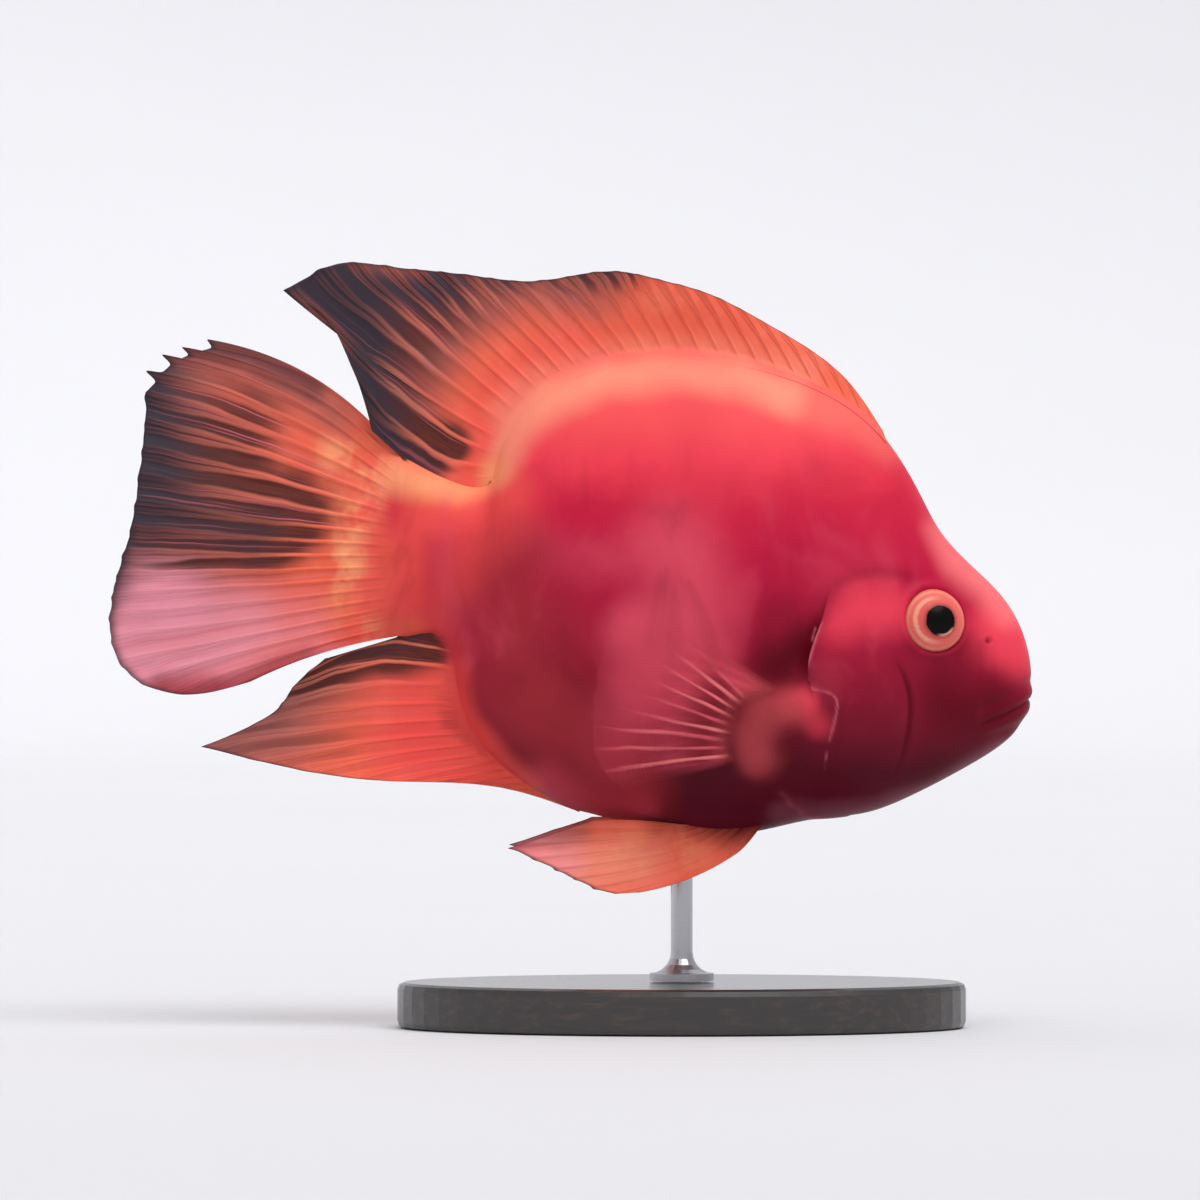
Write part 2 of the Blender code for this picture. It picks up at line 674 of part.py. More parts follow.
def pectoral_root():
    """The pectoral fin's root on the shoulder: two rows of points, before and behind its own line."""
    rays = np.arange(2 * PECTORAL_RAYS + 1)[:, None] / (2 * PECTORAL_RAYS)
    line = PECTORAL_ROOT[0] + (PECTORAL_ROOT[1] - PECTORAL_ROOT[0]) * rays
    faces = []
    for shift in (FIN_ROOT, -FIN_ROOT):
        row = []
        for x, z in line:
            point = skin_at(np.array((x + shift, z)), swells=SHOULDER_SWELLS)
            row.append(point + np.array((0, GAP, 0)))
        faces.append(np.array(row))
    return faces


def pelvic_root():
    """The pelvic fin's root under the belly: two rows of points, outside and inside its own line."""
    rays = np.arange(2 * PELVIC_RAYS + 1)[:, None] / (2 * PELVIC_RAYS)
    line = PELVIC_ROOT[0] + (PELVIC_ROOT[1] - PELVIC_ROOT[0]) * rays
    faces = []
    for shift in (FIN_ROOT, -FIN_ROOT):
        row = []
        for x, y in line:
            target = np.array((x, y + shift))
            point = skin_at(target, seen=(0, 1), turns=(0.6 * math.pi, math.pi), swells=SHOULDER_SWELLS)
            row.append(point - np.array((0, 0, GAP)))
        faces.append(np.array(row))
    return faces


def make_paired_fins(finish, collection):
    """Pectoral and pelvic fins, left and right."""
    rays = np.arange(2 * PECTORAL_RAYS + 1) / 2
    edge, root = margin(PECTORAL_EDGE, rays), pectoral_root()
    for side, name in ((1, "pectoral_fin_left"), (-1, "pectoral_fin_right")):
        paired_fin(name, side, root, edge, PECTORAL_SPLAY, (0.02, 0.02, 0.02), 6, finish, collection)
    rays = np.arange(2 * PELVIC_RAYS + 1) / 2
    edge, root = margin(PELVIC_EDGE, rays), pelvic_root()
    for side, name in ((1, "pelvic_fin_left"), (-1, "pelvic_fin_right")):
        paired_fin(name, side, root, edge, PELVIC_SPLAY, (-0.08, -0.03, 0.03), 6, finish, collection)


def make_stand(fish, wood, metal):
    """An oval base and one turned rod with a flared foot, up to the belly between the pelvic fins."""
    bpy.ops.mesh.primitive_cylinder_add(
        vertices=56, radius=0.5, depth=BASE_HEIGHT, location=(STAND_X, 0, BASE_HEIGHT / 2)
    )
    base = bpy.context.object
    base.name = base.data.name = "stand_base"
    base.scale = (BASE_LENGTH, BASE_WIDTH, 1)
    bpy.ops.object.transform_apply(location=False, rotation=False, scale=True)
    finished(base, wood, fish)
    base.data.set_sharp_from_angle(angle=math.radians(35))
    rounding = base.modifiers.new("Rounded edge", "BEVEL")
    rounding.width = 1.5 * MM
    rounding.segments = 2
    belly = min(skin_at(np.array((STAND_X + dx, 0.0)), seen=(0, 1), turns=(0.6 * math.pi, math.pi))[2]
                for dx in (-ROD_RADIUS, 0.0, ROD_RADIUS))
    bottom, top = BASE_HEIGHT + GAP, belly - GAP
    fillet = [(ROD_RADIUS + (FOOT_RADIUS - ROD_RADIUS) * (1 - math.sin(a)),
               bottom + FOOT_HEIGHT + (FOOT_RADIUS - ROD_RADIUS) * (1 - math.cos(a)))
              for a in np.linspace(math.pi / 2, 0, 6)]
    profile = [(0, top), (ROD_RADIUS, top), *fillet, (FOOT_RADIUS, bottom), (0, bottom)]
    mesh = bpy.data.meshes.new("stand_rod")
    mesh.from_pydata([(r, 0, z) for r, z in profile], [(i, i + 1) for i in range(len(profile) - 1)], [])
    rod = bpy.data.objects.new("stand_rod", mesh)
    fish.objects.link(rod)
    rod.location = (STAND_X, 0, 0)
    mesh.materials.append(metal)
    turning = rod.modifiers.new("Turned", "SCREW")
    turning.steps = turning.render_steps = 28
    turning.use_merge_vertices = True
    turning.merge_threshold = 0.00001
    return base, rod


def set_on_origin(objects):
    """Moves everything along X so that the origin is under the middle of its length."""
    bpy.context.view_layer.update()
    graph = bpy.context.evaluated_depsgraph_get()
    xs = []
    for made in objects:
        evaluated = made.evaluated_get(graph)
        mesh = evaluated.to_mesh()
        xs += [(evaluated.matrix_world @ vertex.co).x for vertex in mesh.vertices]
        evaluated.to_mesh_clear()
    shift = -(min(xs) + max(xs)) / 2
    for made in objects:
        made.location.x += shift


def main():
    for old in list(bpy.data.objects):
        bpy.data.objects.remove(old)
    fish = bpy.data.collections.new("blood_parrot_cichlid")
    cutters = bpy.data.collections.new("cutters")
    for collection in (fish, cutters):
        bpy.context.scene.collection.children.link(collection)

    skin = material("crimson skin", (0.62, 0.05, 0.08), 0.42)
    fins = material("orange fin", (0.76, 0.22, 0.10), 0.5)
    smoky = material("smoky tail fin", (0.30, 0.12, 0.12), 0.5)
    eyes = material("eye", (0.80, 0.36, 0.24), 0.15)
    dark = material("dark opening", (0.10, 0.01, 0.02), 0.6)
    wood = material("black lacquered wood", (0.02, 0.02, 0.022), 0.35)
    metal = material("brushed steel", (0.62, 0.62, 0.64), 0.3, 1.0)

    make_head(fish, cutters, skin, dark)
    flanks, rump = np.linspace(GILL, ALONG[10], 13), np.linspace(ALONG[10], ALONG[12], 6)
    saddle = np.linspace(ALONG[12], STALK, 8)
    body_length("trunk", np.concatenate([flanks, rump[1:], saddle[1:]]), 44, SHOULDER_SWELLS, skin, fish)
    body_length("tail_stalk", np.linspace(STALK, TAIL, 7), 36, SHOULDER_SWELLS, skin, fish)
    for side, name in ((1, "eye_left"), (-1, "eye_right")):
        ball(name, side, 0.0, eyes, fish)

    nape, last = GILL + 1.5 * MM, ALONG[13] + 0.5 * MM
    middle_fin("dorsal_fin", DORSAL_EDGE, DORSAL_RAYS, (nape, last), DORSAL_BULGE, 7,
               2.2 * MM, fins, fish)
    vent, stalk_root = -(ALONG[10] - 1.0 * MM), -(STALK + 2.5 * MM)
    middle_fin("anal_fin", ANAL_EDGE, ANAL_RAYS, (vent, stalk_root), ANAL_BULGE, 7,
               2.0 * MM, fins, fish)
    make_tail_fin(smoky, fish)
    make_paired_fins(fins, fish)
    make_stand(fish, wood, metal)
    bpy.data.collections.remove(cutters)
    set_on_origin(list(fish.objects))


main()
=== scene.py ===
"""Looks of a blood parrot cichlid, life size and still, over a plain display stand.

The file is laid out as a Blender add-on and is run as a script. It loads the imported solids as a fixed
frame, and builds round them one skin, fins of branching rays, glossy eyes, the stand's finishes and a pale
studio. Metres, +Z up. The head points along +X, and the camera looks along +Y at the fish's right side.
"""

import math

import bpy
import numpy as np
from bpy.props import FloatProperty, FloatVectorProperty, PointerProperty
from mathutils import Euler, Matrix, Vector


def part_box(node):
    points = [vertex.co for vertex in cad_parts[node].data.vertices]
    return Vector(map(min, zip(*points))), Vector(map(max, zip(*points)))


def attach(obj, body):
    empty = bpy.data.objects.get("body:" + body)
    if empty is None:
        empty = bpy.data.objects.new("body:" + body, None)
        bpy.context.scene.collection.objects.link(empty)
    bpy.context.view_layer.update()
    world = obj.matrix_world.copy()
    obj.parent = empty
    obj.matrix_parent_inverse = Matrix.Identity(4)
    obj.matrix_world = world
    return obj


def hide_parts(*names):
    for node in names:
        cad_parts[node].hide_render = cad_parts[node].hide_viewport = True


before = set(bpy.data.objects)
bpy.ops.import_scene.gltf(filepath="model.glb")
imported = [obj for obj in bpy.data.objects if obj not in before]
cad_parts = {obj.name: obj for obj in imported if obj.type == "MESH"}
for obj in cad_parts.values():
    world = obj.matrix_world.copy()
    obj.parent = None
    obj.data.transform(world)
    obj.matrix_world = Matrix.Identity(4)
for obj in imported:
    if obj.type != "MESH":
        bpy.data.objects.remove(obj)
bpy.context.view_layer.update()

bl_info = {
    "name": "Blood Parrot Cichlid Model",
    "version": (1, 0, 0),
    "blender": (4, 5, 0),
    "location": "3D View > Sidebar > Cichlid",
    "description": "Builds the skin, fins, eyes, stand finishes and studio of a life-size display fish",
    "category": "Add Mesh",
}

MM = 0.001
SIDEWAYS = np.array((0.0, 1.0, 0.0))

# The body's stations, as in the solids: back x and z, belly x and z, half width, bow of the flank.
STATIONS = MM * np.array(
    [
        (100.0, 72.5, 100.0, 72.5, 0.0, 0.0),
        (100.0, 79.0, 98.9, 68.0, 4.8, 0.0),
        (96.8, 89.5, 94.6, 62.5, 9.6, 0.0),
        (89.0, 99.0, 84.8, 56.2, 13.8, 0.5),
        (80.8, 107.6, 74.4, 50.8, 17.0, 1.5),
        (76.3, 115.6, 65.0, 47.1, 19.8, 4.5),
        (69.8, 126.5, 53.7, 45.6, 22.3, 8.5),
        (59.6, 136.3, 42.2, 43.2, 23.8, 6.0),
        (41.1, 144.2, 30.2, 42.2, 24.0, 2.5),
        (19.3, 146.8, 16.0, 44.2, 22.0, 0.0),
        (1.9, 143.3, 1.4, 47.7, 18.5, 0.0),
        (-9.5, 135.5, -11.2, 54.8, 14.4, 0.0),
        (-14.9, 127.0, -18.8, 61.6, 11.4, 0.0),
        (-17.3, 119.8, -23.9, 71.4, 9.3, 0.0),
        (-22.1, 118.0, -26.0, 81.9, 7.8, 0.0),
        (-29.3, 120.6, -29.5, 85.8, 6.2, 0.0),
        (-37.4, 125.4, -37.8, 84.5, 3.8, 0.0),
    ]
)
GILL_STATION, VENT_STATION, SADDLE_STATION, STALK_STATION, TAIL_STATION = 6, 10, 13, 14, 16
BACK_PINCH, BELLY_WIDENING = 0.16, 0.13
CHEEK_SWELLS = MM * np.array([(59.0, 70.0, 17.0, 27.0, 1.7), (84.0, 66.0, 13.0, 12.0, 0.9)])
SHOULDER_SWELLS = MM * np.array([(45.5, 65.0, 10.0, 12.0, 1.6)])

# How finely things are divided: rows of scales, the skin, an eyeball, and the fins from root to edge and
# across each ray.
SCALE_RINGS, SCALES_AROUND = 62, 72
SKIN_RINGS, SKIN_AROUND = 306, 318
EYE_RINGS, EYE_AROUND = 72, 96
MIDDLE_ROWS, TAIL_ROWS, PAIRED_ROWS = 64, 84, 56
DORSAL_COLUMNS, ANAL_COLUMNS, TAIL_COLUMNS, PAIRED_COLUMNS = 12, 14, 18, 14
# How much closer the skin's rings lie on the head, at the gill cover's edge and at the lips than elsewhere,
# and how far the points round the body and the rows of a fin are drawn together.
HEAD_CLOSENESS, GILL_CLOSENESS, LIP_CLOSENESS = 1.9, 7, 3
TURN_SHIFT, ROW_SHIFT = 0.17, 0.06
# The search for the gill cover's edge: rounds, pace and greatest shift, and how far off it bends the rings.
EDGE_ROUNDS, EDGE_PACE, EDGE_SHIFT, EDGE_REACH = 12, 0.7, 10 * MM, 13 * MM

# The eyes: where and how deep they sit, how they turn, the dome of the lens and the gap left at the poles of
# an eyeball, and the pupil's shift as a share of the radius, with its black in linear light.
EYE_PLACE = MM * np.array((78.1, 88.5))
EYE_SUNK, EYE_YAW, EYE_PITCH = 2.1 * MM, math.radians(14), math.radians(6)
EYE_DOME, EYE_DOME_REACH, POLE_GAP = 0.4 * MM, 2.9 * MM, 0.02
PUPIL_SHIFT, PUPIL_BLACK = (0.08, -0.03), (0.002, 0.0015, 0.002)

# Places seen from the side, x and z, in millimetres unless MM is written. The gill cover's edge and the
# cheek's crease are read by height, so they hold z and then x.
NOSTRIL_PLACE = MM * np.array((90.3, 84.3))
MOUTH_FRONT, MOUTH_CORNER = MM * np.array((99.9, 71.6)), MM * np.array((88.6, 66.4))
GILL_EDGE = (
    (46.0, 52.6), (60.0, 52.9), (70.0, 52.3), (76.0, 51.6),
    (81.0, 51.9), (87.0, 54.0), (94.0, 57.0), (100.0, 60.5),
)
CHEEK_CREASE = (
    (54.5, 68.6), (57.2, 70.4), (64.4, 72.8), (69.2, 73.3), (75.8, 72.2), (79.0, 70.8), (84.0, 68.5),
)
CHEEK_TOP = ((53.0, 86.0), (54.4, 91.0), (57.0, 95.8), (61.0, 98.0), (67.0, 98.9), (73.0, 98.0))
THROAT_FOLD = ((45.6, 51.2), (48.6, 47.9), (53.0, 46.2), (60.0, 45.9))
GILL_THREADS = (
    ((54.4, 88.0), (51.9, 80.2), (51.2, 76.0)),
    ((52.8, 87.2), (52.0, 84.4)),
    ((51.4, 74.2), (54.4, 73.7), (57.0, 71.9), (56.9, 68.0), (55.6, 62.8), (54.6, 57.2)),
)
PAD = ((46.7, 71.4), (42.0, 68.8), (38.6, 63.8), (38.4, 59.6))
CUP_PLACE = MM * np.array((45.8, 62.8))

# Heights, depths and reaches of the reliefs on the skin that have no setting of their own. A pair with END,
# FOOT or TOP in its name holds where a relief is still 0 and where it is whole.
MOUTH_BOW, MOUTH_LINE_REACH, MOUTH_END = 0.5 * MM, 0.32 * MM, MM * np.array((1.2, -2.0))
LIP_OFFSET, LIP_REACH = 1.5 * MM, 0.95 * MM
LIP_FURROW_OFFSET, LIP_FURROW_REACH, LIP_FURROW_DEPTH = 3.6 * MM, 0.9 * MM, 0.2 * MM
LID_OFFSET, LID_REACH = 0.7 * MM, 0.75 * MM
LID_FURROW_OFFSET, LID_FURROW_REACH, LID_FURROW_DEPTH = 2.9 * MM, 1.1 * MM, 0.1 * MM
SOCKET_DEPTH, SOCKET_END = 3.4 * MM, MM * np.array((0.2, -1.9))
GILL_FOOT, GILL_TOP, GILL_STEP_FOOT = (46 * MM, 58 * MM), (96 * MM, 84 * MM), (71 * MM, 80 * MM)
GILL_HOLLOW_REACH, GILL_RIM_OFFSET, GILL_RIM_REACH = 4.2 * MM, -0.9 * MM, 0.8 * MM
GILL_RIM_HEIGHT, GILL_MEETING, GILL_SOFT_MEETING = 0.12 * MM, 0.1 * MM, 7 * MM
GILL_LAP_BEHIND, GILL_LAP_BEFORE = 0.9 * MM, 1.2 * MM
CREASE_FOOT, CREASE_TOP = (53 * MM, 62 * MM), (83 * MM, 73 * MM)
CREASE_REACH, CREASE_RIDGE_OFFSET = 0.5 * MM, 1.3 * MM
CREASE_RIDGE_REACH, CREASE_RIDGE_HEIGHT = 0.9 * MM, 0.2 * MM
FOLD_REACH, THREAD_REACH, THREAD_HEIGHT = 0.6 * MM, 0.24 * MM, 0.16 * MM
CHEEK_TOP_REACH, CHEEK_TOP_DEPTH = 1.6 * MM, 0.3 * MM
PAD_REACH, PAD_HEIGHT, CUP_REACH, CUP_DEPTH = 2.8 * MM, 0.35 * MM, 3.2 * MM, 0.35 * MM
NOSTRIL_REACH, NOSTRIL_RIM_RADIUS = 0.6 * MM, 1.2 * MM
NOSTRIL_RIM_REACH, NOSTRIL_RIM_HEIGHT = 0.4 * MM, 0.15 * MM
WAVE_HEIGHT, WAVE_LENGTH, WAVE_RISE = 0.12 * MM, 7 * MM, 9 * MM
SHEATH_REACH, SHEATH_HEIGHT, TAPER_DEPTH, TAPER_LENGTH = 2.6 * MM, 0.7 * MM, 0.7 * MM, 2.5 * MM
# The span in which the two edge curves can be read, by height.
GILL_EDGE_SPAN, CREASE_SPAN = (40 * MM, 104 * MM), (54.5 * MM, 84 * MM)
# How far the strokes of pigment wander from their lines, over long waves and over short ones.
LONG_WANDER, SHORT_WANDER = 0.8 * MM, 0.3 * MM

# A ray's forks: how far the arms spread, as a share of the spacing, and where they start and end. Its ridge
# has this width at the root, in the same share, and is narrower by this much at the edge.
FORKS = ((0.17, 0.28, 0.95), (0.07, 0.55, 1.0))
RIDGE_WIDTH, RIDGE_NARROWING = 0.16, 0.09
# How far inside the skin the fins start, as shares of a ray's length.
MIDDLE_START, TAIL_START, PAIRED_START = -0.05, -0.09, -0.06
# The fins' UV map holds ray numbers as shares of this.
UV_RAYS = 32.0

# Outer edges of the fins in millimetres, as in the solids: ray number, x and z. A run starts at each tip.
DORSAL_RAYS, ANAL_RAYS, TAIL_RAYS, PELVIC_RAYS, PECTORAL_RAYS = 28, 16, 18, 8, 12
DORSAL_EDGE = (
    (
        (0, 67.8, 130.2),
        (1.5, 61.8, 139.2),
        (3.1, 55.0, 145.8),
        (5.5, 43.5, 153.0),
        (8.2, 31.3, 159.4),
        (11.0, 19.0, 163.1),
        (13.8, 5.8, 164.8),
        (16.2, -8.0, 162.8),
        (18.4, -19.9, 163.9),
        (22.0, -40.6, 166.3),
        (23.5, -51.5, 166.5),
        (25.0, -62.9, 160.7),
    ),
    ((25.0, -62.9, 160.7), (25.7, -55.2, 156.2), (26.6, -49.8, 148.2), (28.0, -43.9, 134.4)),
)
DORSAL_BULGE = ((0, 0.04), (14, 0.02), (23, -0.01), (25.5, -0.03), (27, -0.14), (28, -0.37))
ANAL_EDGE = (
    (
        (0, 1.6, 47.0),
        (2.0, -9.0, 50.7),
        (5.6, -28.7, 53.5),
        (8.0, -48.3, 54.4),
        (9.6, -65.0, 57.3),
        (11.0, -80.9, 61.2),
    ),
    ((11.0, -80.9, 61.2), (12.0, -69.0, 66.4), (14.0, -60.8, 74.2), (16.0, -52.6, 81.3)),
)
ANAL_BULGE = ((0, 0.0), (8, 0.02), (11, 0.02), (13, 0.05), (15, 0.13), (16, 0.22))
TAIL_EDGE = (
    ((0, -79.4, 150.1), (1.0, -85.1, 148.5), (2.0, -89.4, 146.8), (3.0, -92.9, 143.2)),
    (
        (3.0, -92.9, 143.2),
        (6.3, -93.9, 123.7),
        (10.0, -97.6, 103.0),
        (13.5, -100.8, 86.6),
        (15.0, -98.3, 78.8),
        (16.4, -91.0, 73.6),
        (17.3, -80.9, 72.7),
        (18.0, -70.0, 75.4),
    ),
)
TAIL_BULGE = ((0.0, 0.10), (7.2, 0.0), (14.4, 0.0), (18.0, 0.04))
PELVIC_EDGE = (
    ((0, 14.9, 30.0), (1.2, 8.4, 29.7), (2.8, 1.5, 32.3), (4.4, -5.3, 35.6), (6.0, -13.8, 39.5)),
    ((6.0, -13.8, 39.5), (7.0, -4.0, 42.8), (8.0, 4.5, 45.6)),
)
PELVIC_BULGE = ((0, -0.08), (4, -0.03), (8, 0.03))
PELVIC_ROOT = MM * np.array(((43.5, 7.0), (32.0, 6.4)))
PECTORAL_EDGE = (
    (
        (0, 13.2, 91.9),
        (2.4, 7.5, 84.5),
        (4.8, 4.9, 73.6),
        (7.2, 4.5, 63.8),
        (9.6, 7.4, 55.6),
        (12, 15.5, 51.5),
    ),
)
PECTORAL_BULGE = ((0, 0.02), (12, 0.02))
PECTORAL_ROOT = MM * np.array(((46.2, 73.5), (43.0, 57.5)))
# The pectoral fin's rays as they show: their hub, the angle between two in radians, the angles between which
# they lie, and how far from the hub in millimetres they start and fade. Pairs hold where each is 0 and whole.
PECTORAL_HUB, PECTORAL_RAY_ANGLE = MM * np.array((48.7, 61.4)), 0.11
PECTORAL_LOWEST, PECTORAL_HIGHEST = (-0.22, -0.1), (0.68, 0.82)
PECTORAL_RAYS_START, PECTORAL_RAYS_END = (12.5, 18.0), (22.0, 38.0)
# How far the paired fins stand out at their tips.
PELVIC_SPLAY, PECTORAL_SPLAY = 7.0 * MM, 11.0 * MM
# The space that the hindmost rays of the dorsal and anal fins leave to the stalk and the tail fin: how
# steeply it widens past the stalk, above and below, how far it reaches, and the room over the stalk's
# outline, which is negative as they start under the skin. The last pair holds how far past the stalk's end
# the very last ray stops lying on it.
TAIL_RISE, TAIL_FALL, STALK_CLEARING, STALK_ROOM = 0.9, 0.3, 16.0 * MM, -0.8 * MM
LAID_END = (4 * MM, 1 * MM)
# The middle of the stand's base, by the stations' own X.
STAND_X = 24.0 * MM

# The flesh under the pigments, from the belly up: share of the coat's height, and screen colour. It darkens
# towards the belly partly as the flesh's own colour and partly as painted shade, as light falls from above.
SHADED_COAT = (
    (0.0, (90, 20, 36)),
    (0.10, (86, 15, 31)),
    (0.24, (126, 21, 43)),
    (0.38, (164, 26, 56)),
    (0.54, (186, 25, 62)),
    (0.67, (206, 35, 66)),
    (0.78, (240, 64, 82)),
    (0.90, (246, 86, 88)),
)
COAT_FOOT, COAT_HEIGHT = 46 * MM, 100 * MM
FLANK_FOOT, FLANK_TOP = (60 * MM, 78 * MM), (112 * MM, 132 * MM)

# Strokes of an airbrush seen from the side, by pigment and in the order they are sprayed: strength, reach,
# and the x and z that the stroke runs through, in millimetres.
SKIN_STROKES = {
    "rose": (
        (0.85, 17.0, (22, 104), (24, 96), (22, 80)),
        (0.60, 12.0, (9, 62), (20, 80)),
        (0.75, 8.0, (-6, 54), (3, 48.5), (13, 45.5)),
        (0.80, 10.0, (12, 87), (22, 85), (30, 79)),
        (0.35, 9.0, (-6, 104), (5, 102)),
    ),
    "brick": (
        (0.75, 22.0, (-16, 96), (-12, 84), (-8, 68)),
        (0.75, 13.0, (-6, 70), (5, 59), (13, 51)),
        (0.40, 10.0, (-15, 105), (-10, 104)),
    ),
    "coral": (
        (0.85, 9.0, (-37, 104), (-33, 110), (-22, 114), (-15, 117)),
        (0.80, 8.0, (-38, 94), (-38, 104)),
        (0.45, 11.0, (-31, 94), (-22, 104), (-12, 112)),
        (0.65, 5.5, (-25, 78), (-23, 66), (-17, 57), (-10, 52)),
        (0.35, 6.0, (-31, 88), (-27, 84)),
    ),
    "salmon": (
        (0.90, 7.5, (-19, 120), (-13, 130), (-4, 138), (8, 142), (37, 142), (47, 138)),
        (0.30, 7.5, (47, 138), (62, 131), (67, 127)),
    ),
    "glow": (
        (0.90, 10.0, (97, 90), (98, 82)),
        (0.60, 8.0, (90, 88), (91, 84)),
        (0.85, 4.5, (46.5, 72.3), (51, 72)),
        (0.45, 5.0, (51, 71.5), (53, 66.5)),
    ),
    "blush": (
        (0.80, 7.0, (82, 109), (84, 102), (90, 97), (95, 91)),
    ),
    "flesh": (
        (0.85, 8.5, (46.7, 71), (42, 68.5), (39.5, 65), (39.5, 61.5)),
        (0.45, 4.5, (38, 63), (38.5, 58.8)),
        (0.60, 5.5, (46, 72), (38, 75), (31, 77.5)),
    ),
    # Of the wine strokes, the one in the cup beside the pectoral pad is painted shade in that hollow, and the
    # low one under the chest is partly the flesh's own colour and partly painted shade.
    "wine": (
        (0.75, 10.0, (82, 71), (91, 70)),
        (0.35, 7.0, (81, 79), (86, 81)),
        (0.40, 7.0, (39, 51), (44, 53), (56, 52)),
        (0.50, 4.5, (47, 64), (45.5, 62)),
        (0.60, 4.5, (32, 71), (30, 66), (30.5, 60)),
    ),
    "mauve": (
        (0.60, 4.5, (46, 48), (53, 46), (67, 47), (80, 53), (92, 60)),
    ),
    "orange": (
        (0.95, 7.0, (-44, 130), (-38, 125), (-30, 122), (-21, 121)),
        (0.50, 6.0, (-34, 117), (-22, 116)),
        (0.70, 6.0, (-42, 84), (-36, 87)),
        (0.60, 6.0, (-43, 90), (-43, 116)),
    ),
    "cream": (
        (0.80, 6.0, (-40, 121), (-32, 119), (-24, 118), (-18, 120)),
    ),
}
# These two end at the edge of the gill cover: one lies before it and one behind it. The first is a painted
# highlight on the top of the cheek, and the second painted shade in the hollow behind the gill cover.
CHEEK_HIGHLIGHT = ((0.70, 9.5, (58, 89), (63, 91), (68, 91)),)
GILL_HOLLOW_SHADE = ((1.0, 9.0, (45, 80), (49, 83)), (0.35, 9.0, (42, 86), (44, 90)))

# The strokes on the fins.
FIN_STROKES = {
    "dorsal_fin": {
        "coral": ((0.7, 14.0, (-20, 118), (-15, 131), (-6, 140), (0, 144)),),
        "salmon": ((0.6, 8.0, (-13, 133), (-4, 141), (8, 145), (37, 145), (50, 141)),),
        "umber": ((0.8, 13.0, (-34, 140), (-29, 151), (-14, 162), (4, 164)),
                  (1.0, 18.0, (-62, 164), (-48, 160), (-44, 148), (-44, 134)),
                  (0.4, 5.0, (8, 165), (20, 166))),
        "russet": ((0.5, 20.0, (-44, 128), (-41, 140), (-38, 152), (-26, 164)),
                   (1.0, 8.0, (-44, 133), (-34, 129), (-28, 127)),
                   (0.5, 7.0, (-14, 165), (12, 165))),
        "charcoal": ((1.0, 13.0, (-62, 166), (-53, 158), (-45, 150), (-45, 130)),
                     (0.9, 10.0, (-60, 165), (-45, 161), (-29, 162)),
                     (0.6, 8.0, (-29, 164), (-14, 165)),
                     (0.3, 4.0, (0, 164), (8, 164)),
                     (0.7, 5.0, (-46, 132), (-37, 126), (-31, 122))),
    },
    "anal_fin": {
        "coral": ((0.9, 20.0, (-20, 60), (-34, 62), (-32, 72)),),
        "umber": ((0.9, 20.0, (-84, 61), (-66, 66), (-58, 78)),),
        "russet": ((1.0, 11.0, (-30, 86), (-44, 84), (-58, 78)),
                   (0.2, 8.0, (-52, 60), (-68, 64))),
        "charcoal": ((0.2, 8.0, (-68, 68), (-82, 61)),
                     (0.5, 6.0, (-36, 87), (-50, 83))),
    },
    "tail_fin": {
        "coral": ((0.7, 9.0, (-42, 84), (-50, 80)),
                  (0.8, 9.0, (-41, 112), (-42, 90))),
        "cream": ((0.85, 7.0, (-52, 124), (-45, 122), (-38, 120)),
                  (0.9, 8.5, (-44, 118), (-48, 110), (-49, 102)),
                  (0.7, 7.0, (-49, 99), (-50, 92), (-45, 87))),
        "umber": ((1.0, 34.0, (-94, 142), (-90, 118), (-92, 106)),
                  (0.7, 10.0, (-84, 148), (-70, 146), (-52, 134))),
        "pink": ((1.0, 22.0, (-105, 84), (-92, 80)),
                 (0.6, 17.0, (-86, 88), (-78, 80)),
                 (0.45, 15.0, (-74, 82), (-60, 78)),
                 (0.65, 12.0, (-100, 96), (-87, 95)),
                 (0.5, 12.0, (-85, 93), (-72, 91)),
                 (0.3, 11.0, (-70, 90), (-60, 88))),
        "brick": ((0.8, 6.0, (-88, 73), (-74, 74), (-58, 79)),),
        "russet": ((0.95, 14.0, (-64, 109), (-74, 109), (-88, 108)),
                   (0.4, 12.0, (-56, 112), (-64, 112)),
                   (0.9, 15.0, (-78, 122), (-90, 122)),
                   (0.35, 8.0, (-66, 121), (-61, 119)),
                   (0.5, 13.0, (-70, 134), (-84, 134))),
        "charcoal": ((1.0, 17.0, (-101, 140), (-101, 108)),
                     (0.95, 17.0, (-93, 140), (-93, 116)),
                     (0.6, 7.0, (-100, 100), (-105, 88)),
                     (0.6, 9.0, (-86, 112), (-68, 108)),
                     (0.6, 5.0, (-90, 149), (-70, 148), (-56, 139))),
    },
    "pelvic_fin": {
        "coral": ((0.4, 9.0, (14, 32), (26, 38)),),
        "salmon": ((0.7, 12.0, (14, 36), (0, 37)),),
        "cream": ((0.4, 8.0, (26, 38), (12, 38)),),
        "pink": ((0.5, 9.0, (-14, 40), (-2, 38)),),
        "umber": ((0.6, 5.0, (-13, 40), (-4, 43), (2, 45)),),
        "wine": ((0.95, 9.0, (22, 48), (42, 45)),),
    },
    "pectoral_fin": {},
}
# Pigments of the fins in the order they are laid. The russet and charcoal of the membrane come after them.
FIN_COAT = ("coral", "salmon", "umber", "pink", "brick", "wine", "cream")


def tint(red, green, blue):
    """A colour given as screen values from 0 to 255, as linear light."""
    shares = np.array((red, green, blue)) / 255
    return tuple(np.where(shares <= 0.04045, shares / 12.92, ((shares + 0.055) / 1.055) ** 2.4).tolist())


def colour_setting(name, description, red, green, blue):
    """A colour that a user can change, with its default in screen values."""
    return FloatVectorProperty(
        name=name, description=description, default=tint(red, green, blue), min=0, max=1, subtype="COLOR"
    )


def length_setting(name, description, millimetres):
    """A length that a user can change, with its default in millimetres."""
    return FloatProperty(name=name, description=description, default=millimetres * MM, subtype="DISTANCE")


